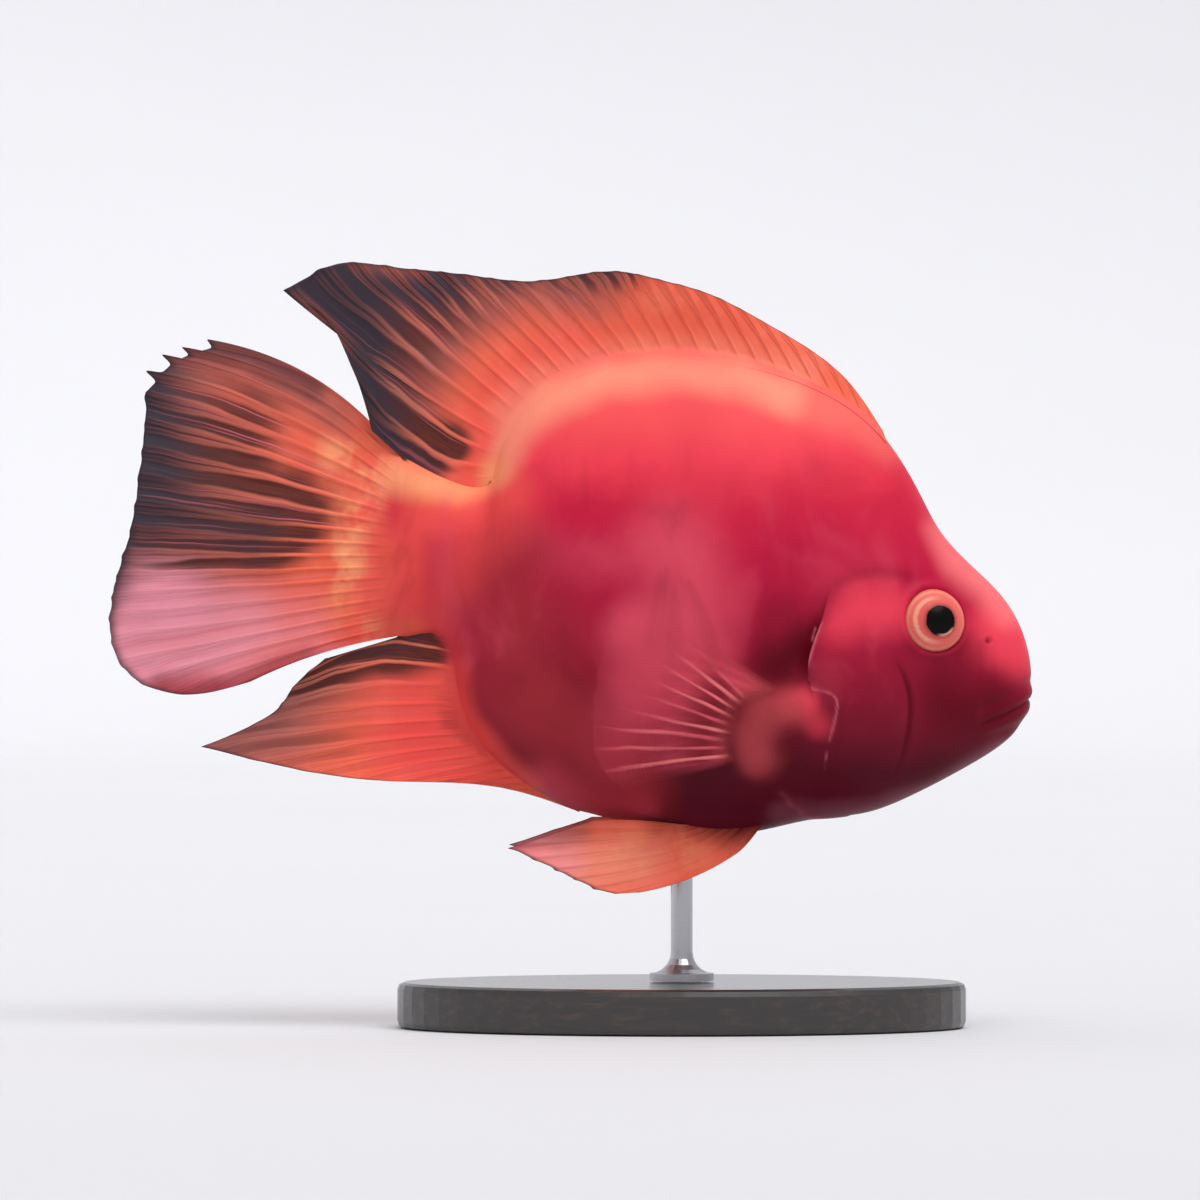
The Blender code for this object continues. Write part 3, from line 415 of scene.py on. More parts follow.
class CichlidPigments(bpy.types.PropertyGroup):
    """Colours that the skin and the fins are painted with."""

    rose: colour_setting("Rose", "Middle of the flank", 223, 78, 98)
    brick: colour_setting("Brick", "Rear flank", 164, 44, 54)
    coral: colour_setting("Coral", "Snout, tail stalk and the roots of the fins", 246, 84, 78)
    salmon: colour_setting("Salmon", "Band along the back under the dorsal fin", 252, 148, 122)
    blush: colour_setting("Blush", "Forehead", 250, 120, 122)
    # On the top of the cheek the glow is a painted highlight.
    glow: colour_setting("Glow", "Snout and top of the cheek", 246, 70, 90)
    flesh: colour_setting("Flesh", "Roots of the pectoral fins", 192, 72, 78)
    # Wine also lays painted shade: in the hollow behind the gill cover, in the creases, the mouth line and
    # the nostrils, and as part of the belly's darkness.
    wine: colour_setting("Wine", "Lower snout, belly and the hollow behind the gill cover", 94, 6, 24)
    mauve: colour_setting("Mauve", "Sheen under the gill cover", 138, 72, 90)
    cream: colour_setting("Cream", "Patches at the tail's root", 253, 164, 116)
    # Sheen is a painted highlight along the threads of the gill cover and the throat's fold; on the fins it
    # also colours the fine threads and the pectoral fin's pale rays.
    sheen: colour_setting("Sheen", "Thin edges of folds", 226, 112, 128)
    orange: colour_setting("Orange", "Base of the fins", 240, 104, 78)
    pink: colour_setting("Pink", "Lower lobe of the tail fin", 240, 152, 168)
    umber: colour_setting("Umber", "Outer part of the tail fin", 160, 92, 86)
    russet: colour_setting("Russet", "Membrane between the rays", 84, 42, 38)
    charcoal: colour_setting("Charcoal", "Margins of the fins", 56, 47, 56)
    ray: colour_setting("Ray", "Rays of the fins where the membrane is dark", 246, 150, 112)


class CichlidBody(bpy.types.PropertyGroup):
    """Relief of the skin."""

    gill_step: length_setting("Gill step", "Depth behind the edge of the gill cover", 1.35)
    gill_overlap: length_setting("Gill overlap", "How far the gill cover's edge reaches back", 0.8)
    crease: length_setting("Cheek crease", "Depth of the crease before the gill cover", 0.55)
    fold: length_setting("Throat fold", "Height of the fold under the gill cover", 0.3)
    lip: length_setting("Lips", "Height of the lips", 0.3)
    groove: length_setting("Mouth line", "Depth of the line between the lips", 0.38)
    lid: length_setting("Eye rim", "Height of the ring of skin round an eye", 0.4)
    nostril: length_setting("Nostril", "Depth of a nostril", 0.8)


class CichlidEye(bpy.types.PropertyGroup):
    """Form and colours of the eyes."""

    radius: length_setting("Radius", "Radius of the eyeball", 7.1)
    depth: length_setting("Half depth", "Half thickness of the eyeball", 4.8)
    pupil: length_setting("Pupil", "Radius of the pupil", 3.3)
    iris_inner: colour_setting("Inner iris", "Iris beside the pupil", 226, 96, 90)
    iris_outer: colour_setting("Outer iris", "Iris at its edge", 236, 118, 106)
    # Gleam paints the highlights in the iris and beside the pupil, and also the iris's pale rim.
    gleam: colour_setting("Gleam", "Pale arcs in the iris", 250, 176, 150)


class CichlidFins(bpy.types.PropertyGroup):
    """Thicknesses of the fins and the form of their rays."""

    root: length_setting("Root", "Half thickness of the flesh at the root", 1.0)
    edge: length_setting("Membrane", "Half thickness of the membrane at its edge", 0.14)
    ray: length_setting("Rays", "Height of a ray over the membrane", 0.36)
    flare: length_setting("Flare", "Extra half thickness where a fin runs into the skin", 1.6)
    fillet: length_setting("Fillet", "How far up a fin the flare reaches", 2.8)


class CichlidStand(bpy.types.PropertyGroup):
    """Finishes of the display stand."""

    lacquer: colour_setting("Lacquer", "Lacquered wood of the base", 38, 34, 33)
    grain: colour_setting("Grain", "Open grain that shows through the lacquer", 66, 50, 42)
    steel: colour_setting("Steel", "Brushed rod", 196, 196, 200)


class CichlidStage(bpy.types.PropertyGroup):
    """Camera, lights and backdrop."""

    lens: FloatProperty(name="Lens", description="Focal length in millimetres", default=250.0)
    sensor: FloatProperty(name="Sensor", description="Width of the sensor in millimetres", default=36.0)
    view_width: length_setting("View width", "Width of the picture at the fish", 261.5)
    view_x: length_setting("View x", "Middle of the picture along the fish", 6.2)
    view_z: length_setting("View height", "Height of the middle of the picture", 93.2)
    key: FloatProperty(name="Key light", description="Strength of the light from above", default=2.1)
    fill: FloatProperty(name="Fill light", description="Strength of the light from behind", default=0.6)
    ambient: FloatProperty(name="Ambient", description="Strength of the surrounding light", default=0.56)
    floor: colour_setting("Floor", "Floor and backdrop", 224, 224, 227)


def spline_through(knots, values):
    """A natural cubic spline through the values, as a function of the knots' parameter."""
    knots, values = np.asarray(knots, float), np.asarray(values, float)
    gaps, count = np.diff(knots), len(knots)
    system, right = np.eye(count), np.zeros_like(values)
    for i in range(1, count - 1):
        system[i, i - 1 : i + 2] = gaps[i - 1], 2 * (gaps[i - 1] + gaps[i]), gaps[i]
        slope_change = (values[i + 1] - values[i]) / gaps[i] - (values[i] - values[i - 1]) / gaps[i - 1]
        right[i] = 6 * slope_change
    bends = np.linalg.solve(system, right)

    def read(at):
        """The curve's value at one parameter or at an array of them."""
        at = np.asarray(at, float)
        i = np.clip(np.searchsorted(knots, at) - 1, 0, count - 2)
        shape = at.shape + (1,) * (values.ndim - 1)
        step = gaps[i].reshape(shape)
        after = ((at - knots[i]) / gaps[i]).reshape(shape)
        before = 1 - after
        curved = (before**3 - before) * bends[i] + (after**3 - after) * bends[i + 1]
        return before * values[i] + after * values[i + 1] + curved * step**2 / 6

    return read


def station_parameters():
    """Distance along the body of each station: the mean of the steps along its back and its belly."""
    back = np.linalg.norm(np.diff(STATIONS[:, 0:2], axis=0), axis=1)
    belly = np.linalg.norm(np.diff(STATIONS[:, 2:4], axis=0), axis=1)
    return np.concatenate([[0.0], np.cumsum((back + belly) / 2)])


ALONG = station_parameters()
GILL, VENT, SADDLE, STALK, TAIL = (
    ALONG[i] for i in (GILL_STATION, VENT_STATION, SADDLE_STATION, STALK_STATION, TAIL_STATION)
)
# One curve runs along the belly, through the mouth and on along the back, so the snout is smooth.
outline = spline_through(
    np.concatenate([-ALONG[:0:-1], ALONG]), np.concatenate([STATIONS[:0:-1, 2:4], STATIONS[:, 0:2]])
)
half_width = spline_through(ALONG, STATIONS[:, 4])
bow = spline_through(ALONG, STATIONS[:, 5])
gill_edge = spline_through(*(MM * np.transpose(GILL_EDGE)))
cheek_crease = spline_through(*(MM * np.transpose(CHEEK_CREASE)))


def smooth_step(value, low, high):
    """0 below low, 1 above high and 3t^2 - 2t^3 between. low may be the greater, for a fall."""
    share = np.clip((value - low) / (high - low), 0, 1)
    return share * share * (3 - 2 * share)


def between(value, start, end):
    """1 between two soft ends, each given by where it is 0 and where it is 1."""
    return smooth_step(value, *start) * smooth_step(value, *end)


def smooth_line(places, count=24):
    """Points along a smooth curve through a few places given in millimetres, in metres."""
    places = MM * np.array(places)
    return spline_through(np.arange(len(places)), places)(np.linspace(0, len(places) - 1, count))


def bump(value, centre, reach):
    """A bell exp(-((value - centre) / reach)^2)."""
    return np.exp(-(((value - centre) / reach) ** 2))


def swelling(swells, x, z):
    """Height of the soft swellings at a place seen from the side: each a smooth mound over an ellipse."""
    height = np.zeros_like(x)
    for centre_x, centre_z, reach_x, reach_z, top in swells:
        share = 1 - ((x - centre_x) / reach_x) ** 2 - ((z - centre_z) / reach_z) ** 2
        height += top * np.clip(share, 0, 1) ** 2
    return height


def skin_point(along, turn, swells=SHOULDER_SWELLS):
    """Points on the skin. turn runs round the body from the back (0) by the left side to the belly (pi).

    Each section is an oval on the line from back to belly: width * sin(turn)^p sideways and cos(turn)
    upwards, with the power p a little over 1 above, so that it is narrower there than below.
    """
    along, turn = np.broadcast_arrays(np.asarray(along, float), np.asarray(turn, float))
    back, belly = outline(along), outline(-along)
    up, side = np.cos(turn)[..., None], np.sin(turn)
    place = (back + belly) / 2 + up * (back - belly) / 2
    up = up[..., 0]
    x = place[..., 0] - bow(along) * side**2
    z = place[..., 1]
    fading = 1 - (along / TAIL) ** 2
    power = 1 + BACK_PINCH * up
    y = half_width(along) * np.sign(side) * np.abs(side) ** power * (1 - BELLY_WIDENING * fading * up)
    return np.stack([x, y + swelling(swells, x, z) * side, z], axis=-1)


# The greatest share of the half height at which the stalk's width is read, as it is 0 at 1.
MOST_UP = 0.99


def stalk_side(x, z):
    """Half width of the tail stalk at a place seen from the side: its section's formula, read at x."""
    along = np.linspace(STALK - 8 * MM, TAIL, 80)
    back, belly = outline(along), outline(-along)
    middle_x = (back[:, 0] + belly[:, 0]) / 2
    here = np.interp(-x, -middle_x, along)
    back_z, belly_z = np.interp(here, along, back[:, 1]), np.interp(here, along, belly[:, 1])
    up = np.clip((2 * z - back_z - belly_z) / (back_z - belly_z), -MOST_UP, MOST_UP)
    fading = 1 - (here / TAIL) ** 2
    oval = (1 - up**2) ** ((1 + BACK_PINCH * up) / 2)
    return half_width(here) * oval * (1 - BELLY_WIDENING * fading * up)


# Points along and round the body in the first round of a search and in the later ones, and the rounds.
FIRST_GRID, FINER_GRID, SEARCH_ROUNDS = (85, 43), (9, 9), 9


def skin_at(target, seen=(0, 2), turns=(0.0, math.pi), swells=SHOULDER_SWELLS):
    """The point of the left skin that is seen at target along the axis left out of seen.

    A grid search that narrows round the nearest point.
    """
    low, high = np.array([0.0, turns[0]]), np.array([TAIL, turns[1]])
    counts = FIRST_GRID
    for _ in range(SEARCH_ROUNDS):
        along = np.linspace(low[0], high[0], counts[0])[:, None]
        turn = np.linspace(low[1], high[1], counts[1])[None, :]
        points = skin_point(along, turn, swells)
        distance = np.linalg.norm(points[..., list(seen)] - target, axis=-1)
        i, j = np.unravel_index(np.argmin(distance), distance.shape)
        best = np.array([along[i, 0], turn[0, j]])
        reach = 1.5 * (high - low) / (np.array(counts) - 1)
        low = np.maximum(best - reach, (0.0, turns[0]))
        high = np.minimum(best + reach, (TAIL, turns[1]))
        counts = FINER_GRID
    return points[i, j]


def line_distance(x, z, line):
    """Distance, seen from the side, to a bent line: the least over its segments of |p - a - t(b - a)|."""
    line = np.array(line, float)
    nearest = np.full(np.shape(x), np.inf)
    for (ax, az), (bx, bz) in zip(line[:-1], line[1:]):
        run_x, run_z = bx - ax, bz - az
        share = np.clip(((x - ax) * run_x + (z - az) * run_z) / (run_x**2 + run_z**2), 0, 1)
        nearest = np.minimum(nearest, np.hypot(x - ax - share * run_x, z - az - share * run_z))
    return nearest


def wandering(x, z):
    """Places moved by sines of each other, so that the edges of strokes aren't even."""
    return (
        x + LONG_WANDER * np.sin(z / (5.3 * MM)) + SHORT_WANDER * np.sin(z / (2.4 * MM) + x / (6 * MM)),
        z + LONG_WANDER * np.sin(x / (6.1 * MM) + 1) + SHORT_WANDER * np.sin(x / (2.7 * MM) + z / (5 * MM)),
    )


def sprayed(strokes, x, z):
    """Cover of an airbrush: one less the product over its strokes of 1 - strength (1 - (d / reach)^2)^2."""
    bare = np.ones_like(x)
    x, z = wandering(x, z)
    for strength, reach, *line in strokes:
        distance = line_distance(x / MM, z / MM, line) / reach
        bare *= 1 - strength * np.clip(1 - distance**2, 0, 1) ** 2
    return 1 - bare


def flesh_marks(x, z):
    """Cover of each pigment of the flesh."""
    return {"flesh_" + pigment: sprayed(strokes, x, z) for pigment, strokes in SKIN_STROKES.items()}


class Value:
    """A number socket of a finish. Python's operators on it add Math nodes."""

    def __init__(self, finish, socket):
        self.finish, self.socket = finish, socket

    def math(self, operation, first, second=0.0):
        """A Math node of two values, of which one may be a plain number."""
        return self.finish.node("ShaderNodeMath", {"operation": operation}, {0: first, 1: second})

    def __add__(self, other):
        return self.math("ADD", self, other)

    __radd__ = __add__

    def __sub__(self, other):
        return self.math("SUBTRACT", self, other)

    def __rsub__(self, other):
        return self.math("SUBTRACT", other, self)

    def __mul__(self, other):
        return self.math("MULTIPLY", self, other)

    __rmul__ = __mul__

    def __truediv__(self, other):
        return self.math("DIVIDE", self, other)

    def __pow__(self, power):
        return self.math("POWER", self, power)

    def __abs__(self):
        return self.math("ABSOLUTE", self)

    def folded(self, half):
        """Distance to the nearest whole multiple of twice half."""
        return self.math("PINGPONG", self, half)

    def clamped(self):
        """Held between 0 and 1."""
        return self.finish.node("ShaderNodeClamp", {}, {0: self})

    def step(self, low, high):
        """0 at low, 1 at high, smooth between."""
        settings = {"interpolation_type": "SMOOTHSTEP"}
        return self.finish.node("ShaderNodeMapRange", settings, {0: self, 1: low, 2: high, 3: 0.0, 4: 1.0})


class Finish:
    """A material in the making. Its node method adds any node and gives back the output it is read by."""

    def __init__(self, name):
        self.material = bpy.data.materials.new(name)
        self.material.use_nodes = True
        self.tree = self.material.node_tree
        self.shader = self.tree.nodes["Principled BSDF"]
        self.place = self.node("ShaderNodeTexCoord", output="Object")

    def node(self, kind, settings=None, inputs=None, output=0):
        """Adds a node, sets its settings (a ramp's stops among them) and then its inputs."""
        made = self.tree.nodes.new(kind)
        for setting, value in (settings or {}).items():
            if setting == "stops":
                self.set_stops(made.color_ramp, value)
            else:
                setattr(made, setting, value)
        for name, value in (inputs or {}).items():
            self.feed(made.inputs[name], value)
        return Value(self, made.outputs[output])

    def feed(self, socket, value):
        """Links a value to a socket, or sets it where it is the same all over."""
        if isinstance(value, Value):
            self.tree.links.new(value.socket, socket)
        elif socket.type == "RGBA":
            socket.default_value = (*value[:3], 1.0)
        else:
            socket.default_value = value

    @staticmethod
    def set_stops(ramp, stops):
        """Places a ramp's stops, each a position and a colour."""
        while len(ramp.elements) < len(stops):
            ramp.elements.new(1.0)
        for element, (position, colour) in zip(ramp.elements, stops):
            element.position = position
            element.color = (*colour, 1.0)

    def attribute(self, name):
        """A number stored on the piece's points."""
        return self.node("ShaderNodeAttribute", {"attribute_name": name}, output="Fac")

    def axes(self, vector):
        """The three numbers of a vector."""
        split = self.node("ShaderNodeSeparateXYZ", {}, {0: vector})
        sockets = split.socket.node.outputs
        return [Value(self, sockets[i]) for i in range(3)]

    def noise(self, vector, scale, detail=2.0, roughness=0.5, distortion=0.0):
        """Cloudy noise from 0 to 1."""
        inputs = {"Vector": vector, "Scale": scale, "Detail": detail, "Roughness": roughness,
                  "Distortion": distortion}
        return self.node("ShaderNodeTexNoise", {}, inputs)

    def along_rays(self, ray, out, across, lengthwise):
        """A place for noise that is drawn out along the rays."""
        return self.node("ShaderNodeCombineXYZ", {}, {0: ray * across, 1: out * lengthwise})

    def mix(self, first, second, factor):
        """The first colour at factor 0 and the second at 1."""
        return self.node("ShaderNodeMix", {"data_type": "RGBA"}, {0: factor, 6: first, 7: second}, output=2)

    def shade(self, colour, factor):
        """A colour times a number."""
        grey = self.node("ShaderNodeCombineXYZ", {}, {0: factor, 1: factor, 2: factor})
        settings = {"data_type": "RGBA", "blend_type": "MULTIPLY"}
        return self.node("ShaderNodeMix", settings, {0: 1.0, 6: colour, 7: grey}, output=2)

    def bump(self, height, distance, strength):
        """The normal of a height map, in metres of distance."""
        inputs = {"Height": height, "Distance": distance, "Strength": strength}
        return self.node("ShaderNodeBump", {}, inputs)

    def done(self, **sockets):
        """Feeds the shader's sockets, named with _ for a space, and returns the material."""
        for name, value in sockets.items():
            self.feed(self.shader.inputs[name.replace("_", " ")], value)
        return self.material


def shaded_flesh_coat(finish, pigments):
    """Colour of the flesh: a coat that darkens from back to belly, partly the flesh's own colour and partly
    painted shade under light from above, then each pigment through its own mask.
    """
    _, _, height = finish.axes(finish.place)
    cloud = finish.noise(finish.place, 60.0, 3.0, 0.55)
    drift = finish.noise(finish.place, 26.0, 2.0)
    stops = [(share, tint(*colour)) for share, colour in SHADED_COAT]
    share = (height - COAT_FOOT) / COAT_HEIGHT + (drift - 0.5) * 0.16 + (cloud - 0.5) * 0.08
    colour = finish.node("ShaderNodeValToRGB", {"stops": stops}, {0: share})
    for pigment in SKIN_STROKES:
        cover = finish.attribute("flesh_" + pigment) * (0.6 + 0.4 * cloud + 0.4 * drift)
        colour = finish.mix(colour, getattr(pigments, pigment), cover.clamped())
    steep = finish.node("ShaderNodeMapping", {}, {"Vector": finish.place, "Scale": (1.3, 1.0, 0.7)})
    blotch = finish.noise(steep, 48.0, 3.0, 0.5, 0.8)
    flank = (1 - height.step(*FLANK_TOP)) * height.step(*FLANK_FOOT)
    for pigment, patch, strength in (("rose", blotch, 0.3), ("wine", 1 - blotch, 0.25)):
        colour = finish.mix(colour, getattr(pigments, pigment), patch.step(0.5, 0.72) * flank * strength)
    return finish.shade(colour, 0.86 + 0.16 * drift + 0.12 * cloud)


def skin_finish(pigments):
    """Soft, faintly translucent skin over the coat of flesh, with painted shade in its creases and hollows
    and painted highlights on the cheek's top and along the edges of its folds.
    """
    finish = Finish("crimson skin")
    colour = shaded_flesh_coat(finish, pigments)
    broken = finish.noise(finish.place, 260.0, 2.0).step(0.3, 0.6)
    # Painted light: a highlight on the cheek's top, shade in the gill hollow and in the creases, mouth line
    # and nostrils, and highlights along the threads.
    for pigment, mark, part in (
        ("glow", "cheek", 1.0), ("wine", "hollow", 1.0), ("wine", "groove", 1.0), ("sheen", "sheen", broken),
    ):
        colour = finish.mix(colour, getattr(pigments, pigment), finish.attribute(mark) * part)
    pores = finish.noise(finish.place, 900.0, 2.0)
    folds = finish.noise(finish.place, 140.0, 2.0)
    around = finish.node("ShaderNodeUVMap", {"uv_map": "BodyUV"})
    along, _, _ = finish.axes(around)
    counts = (SCALE_RINGS, SCALES_AROUND, 1.0)
    rows = finish.node("ShaderNodeMapping", {}, {"Vector": around, "Scale": counts})
    scales = finish.node("ShaderNodeTexVoronoi", {}, {"Vector": rows, "Scale": 1.0, "Randomness": 0.4})
    scaly = along.step(GILL / TAIL, GILL / TAIL + 0.1)
    return finish.done(
        Base_Color=colour,
        Roughness=0.40 + 0.12 * folds,
        Normal=finish.bump(0.7 * folds + 0.15 * pores - 0.16 * scales * scaly, 0.3 * MM, 0.5),
        Specular_IOR_Level=0.07,
        Subsurface_Weight=0.08,
        Subsurface_Radius=(1.0, 0.25, 0.18),
        Subsurface_Scale=2.0 * MM,
    )


def fin_finish(name, pigments, band=0.08, tip=0.05, glow=0.8, veil=0.45, threads=0.3, relief=0.6, root=0.14):
    """Fin membrane: flesh colours, dark membrane between the rays, and paler rays that fork twice.

    band and tip are a ray's half width at the root and at the edge as shares of the spacing, glow is how
    much a ray stands out where the membrane is dark, veil how much of the dark lies over the rays too,
    threads how much the finest lines show, relief the strength of the bump and root how far out the fin has
    taken on its own colour.
    """
    finish = Finish(name)
    ray, out, _ = finish.axes(finish.node("ShaderNodeUVMap", {"uv_map": "FanUV"}))
    ray = ray * UV_RAYS
    wander = finish.noise(finish.along_rays(ray, out, 0.35, 3.0), 1.0, 2.0)
    bent = ray + (wander - 0.5) * 0.5
    off = bent.folded(0.5)
    for spread, start, end in FORKS:
        off = abs(off - spread * out.step(start, end))
    line = (1 - (off / (band + (tip - band) * out)).step(0.3, 1.8)) * out.step(0.02, 0.16)
    gap = 1 - line
    streak = finish.noise(finish.along_rays(bent, out, 4.0, 1.6), 3.0, 3.0, 0.6)
    single = finish.noise(finish.along_rays(bent, out, 0.8, 1.4), 1.0, 1.0)
    thread = finish.noise(finish.along_rays(bent, out, 8.0, 0.9), 1.0, 2.0).step(0.56, 0.78)
    cloud = finish.noise(finish.place, 90.0, 3.0, 0.6)

    colour = finish.mix(pigments.orange, pigments.salmon, cloud.step(0.45, 0.9) * 0.5)
    patchy = finish.noise(finish.place, 140.0, 3.0, 0.6).step(0.36, 0.66)
    for pigment in FIN_COAT:
        uneven = patchy if pigment == "cream" else 0.25 + 0.9 * single + 0.6 * streak
        cover = finish.attribute(pigment) * uneven
        colour = finish.mix(colour, getattr(pigments, pigment), cover.clamped())
    russet, charcoal = finish.attribute("russet"), finish.attribute("charcoal")
    hollow = (off / FORKS[0][0]).clamped()
    wedge = (russet * (0.7 + 0.6 * single) + (hollow - 0.6) * 0.5).step(0.15, 0.8)
    cover = wedge * (veil + (1 - veil) * gap) * (0.75 + 0.4 * streak)
    colour = finish.mix(colour, pigments.russet, cover.clamped())
    colour = finish.mix(colour, pigments.charcoal, (charcoal * (0.9 + 0.2 * gap)).clamped())
    dark = (russet + charcoal).clamped()
    light = line * dark * (1 - 0.95 * charcoal) * (1 - 0.8 * out) * (0.2 + single * 1.2) * glow
    colour = finish.mix(colour, pigments.ray, light.clamped())
    fine = thread * out.step(0.0, 0.4) * (1 - 0.5 * charcoal) * threads
    colour = finish.mix(colour, pigments.sheen, fine.clamped())
    colour = finish.mix(colour, pigments.charcoal, finish.attribute("rim") * 0.75)
    colour = finish.shade(colour, 0.86 + 0.2 * streak + 0.1 * cloud)
    grown = (out + (streak - 0.5) * 0.08 + (cloud - 0.5) * 0.12).step(0.0, root)
    colour = finish.mix(shaded_flesh_coat(finish, pigments), colour, grown)
    return finish.done(
        Base_Color=colour,
        Roughness=0.45 + 0.14 * cloud,
        Normal=finish.bump(line + 0.35 * streak, 0.16 * MM, relief),
        Specular_IOR_Level=0.10,
    )


def pectoral_finish(name, pigments):
    """A clear rosy membrane with thin pale rays, which spread from a hub behind the pad and fade outwards."""
    finish = Finish(name)
    ray, out, _ = finish.axes(finish.node("ShaderNodeUVMap", {"uv_map": "FanUV"}))
    ray = ray * UV_RAYS
    x, _, z = finish.axes(finish.place)
    back, up = PECTORAL_HUB[0] + set_back() - x, z - PECTORAL_HUB[1]
    angle = up.math("ARCTAN2", up, back)
    reach = (back**2.0 + up**2.0) ** 0.5 / MM
    wander = finish.noise(finish.along_rays(angle, reach, 9.0, 0.06), 1.0, 2.0)
    bent = angle / PECTORAL_RAY_ANGLE + (wander - 0.5) * 0.6
    off = bent.folded(0.5) * reach * PECTORAL_RAY_ANGLE
    single = finish.noise(finish.along_rays(bent, reach, 0.8, 0.02), 1.0, 1.0)
    cloud = finish.noise(finish.place, 120.0, 3.0, 0.6)
    fanned = angle.step(*PECTORAL_LOWEST) * (1 - angle.step(*PECTORAL_HIGHEST))
    line = (1 - (off / 0.4).step(0.2, 1.6)) * fanned
    fading = reach + (single - 0.5) * 14.0 - 9.0 * (1 - angle.step(0.05, 0.35))
    shown = reach.step(*PECTORAL_RAYS_START) * (1 - fading.step(*PECTORAL_RAYS_END))
    bright = line * shown * (single * 3.2 - 0.9).clamped()
    gap = (1 - line) * fanned * reach.step(15.0, 20.0) * (1 - reach.step(20.0, 29.0))
    colour = finish.mix(pigments.flesh, pigments.rose, reach.step(14.0, 22.0))
    colour = finish.mix(colour, pigments.brick, gap * 0.8)
    colour = finish.mix(colour, pigments.wine, gap * 0.45)
    colour = finish.mix(colour, finish.mix(pigments.sheen, pigments.ray, single * 0.5), bright)
    colour = finish.shade(colour, 0.92 + 0.14 * cloud)
    risen = (out - 0.22 * ray.step(0.5, 5.0)).step(0.0, 0.18)
    edges = (ray / (1.0 + 3.5 * out)).clamped() * angle.step(-0.26, -0.1)
    alpha = risen * (edges * (0.9 - 0.85 * out.step(0.15, 0.8)) + 0.6 * bright)
    return finish.done(
        Base_Color=colour,
        Alpha=alpha.clamped(),
        Roughness=0.5,
        Normal=finish.bump(line, 0.1 * MM, 0.4),
        Specular_IOR_Level=0.08,
    )


def eye_finish(settings):
    """Iris and pupil in rings round a point a little before the eye's middle, under a clear gloss, with
    painted highlights: a pale streak at the back of the iris, the rim brightened towards the back and a
    crescent beside the pupil.
    """
    finish = Finish("eye")
    plane = finish.node("ShaderNodeUVMap", {"uv_map": "EyeUV"})
    a, b, _ = finish.axes(plane)
    a, b = (a - 0.5) * 2.0, (b - 0.5) * 2.0
    wave = finish.noise(plane, 9.0, 2.0)
    from_pupil = ((a - PUPIL_SHIFT[0]) ** 2.0 + (b - PUPIL_SHIFT[1]) ** 2.0) ** 0.5 + (wave - 0.5) * 0.05
    from_middle = (a**2.0 + b**2.0) ** 0.5 + (wave - 0.5) * 0.04
    pupil = settings.pupil / settings.radius
    flecks = finish.noise(plane, 30.0, 3.0, 0.65)
    outwards = (from_middle + (flecks - 0.5) * 0.3).step(0.5, 0.95)
    iris = finish.mix(settings.iris_inner, settings.iris_outer, outwards)
    # Painted highlights: the pale streak lies at the back of the iris, and the pale rim, which is the iris's
    # own colour, is brightened towards the back.
    behind = 1 - a.step(-0.45, 0.25)
    streak = (1 - (abs(from_middle - 0.68) / 0.1).step(0.1, 1.0)) * behind * (0.5 + flecks)
    rim = (1 - (abs(from_middle - 0.88) / 0.06).step(0.2, 1.0)) * (0.2 + 0.4 * wave + 0.4 * behind)
    iris = finish.mix(iris, settings.gleam, (0.8 * streak + 0.7 * rim).clamped())
    iris = finish.shade(iris, 1 - 0.4 * (1 - from_pupil.step(pupil, pupil + 0.14)))
    black = 1 - from_pupil.step(pupil - 0.02, pupil + 0.02)
    # A painted highlight: a pale crescent at the lower edge of the pupil.
    low = (0 - b).step(0.18, 0.36) * (a + 0.2).step(0.1, 0.4)
    crescent_highlight = (1 - (abs(from_pupil - pupil + 0.02) / 0.06).step(0.1, 1.0)) * low
    colour = finish.mix(iris, PUPIL_BLACK, black)
    colour = finish.mix(colour, settings.gleam, (crescent_highlight * 0.75).clamped())
    return finish.done(
        Base_Color=colour,
        Roughness=0.35,
        Specular_IOR_Level=0.06,
        Coat_Weight=0.08,
        Coat_Roughness=0.04,
    )


def lacquer_finish(settings):
    """Dark lacquered wood: stretched noise for the grain, under a clear coat."""
    finish = Finish("lacquered wood")
    stretched = finish.node("ShaderNodeMapping", {}, {"Vector": finish.place, "Scale": (1.0, 14.0, 14.0)})
    grain = finish.noise(stretched, 45.0, 6.0, 0.65, 0.6)
    pores = finish.noise(stretched, 240.0, 3.0)
    colour = finish.mix(settings.lacquer, settings.grain, grain.step(0.45, 0.72))
    return finish.done(
        Base_Color=colour,
        Roughness=0.32 + 0.2 * pores,
        Normal=finish.bump(grain + 0.4 * pores, 0.12 * MM, 0.4),
        Coat_Weight=0.6,
        Coat_Roughness=0.12,
    )


def steel_finish(settings):
    """Brushed steel with fine rings round the rod."""
    finish = Finish("brushed steel")
    squeezed = finish.node("ShaderNodeMapping", {}, {"Vector": finish.place, "Scale": (4.0, 4.0, 260.0)})
    brushing = finish.noise(squeezed, 20.0, 4.0, 0.7)
    return finish.done(
        Base_Color=finish.shade(settings.steel, 0.85 + 0.25 * brushing),
        Roughness=0.22 + 0.2 * brushing,
        Normal=finish.bump(brushing, 0.03 * MM, 0.3),
        Metallic=1.0,
    )


def floor_finish(settings):
    """Smooth pale board with the faintest clouding."""
    finish = Finish("pale studio board")
    cloud = finish.noise(finish.place, 3.0, 3.0)
    return finish.done(
        Base_Color=finish.shade(settings.floor, 0.98 + 0.03 * cloud), Roughness=0.75, Specular_IOR_Level=0.2
    )


def set_back():
    """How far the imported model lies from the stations' own X, read off the stand's base."""
    low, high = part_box("stand_base")
    return (low.x + high.x) / 2 - STAND_X


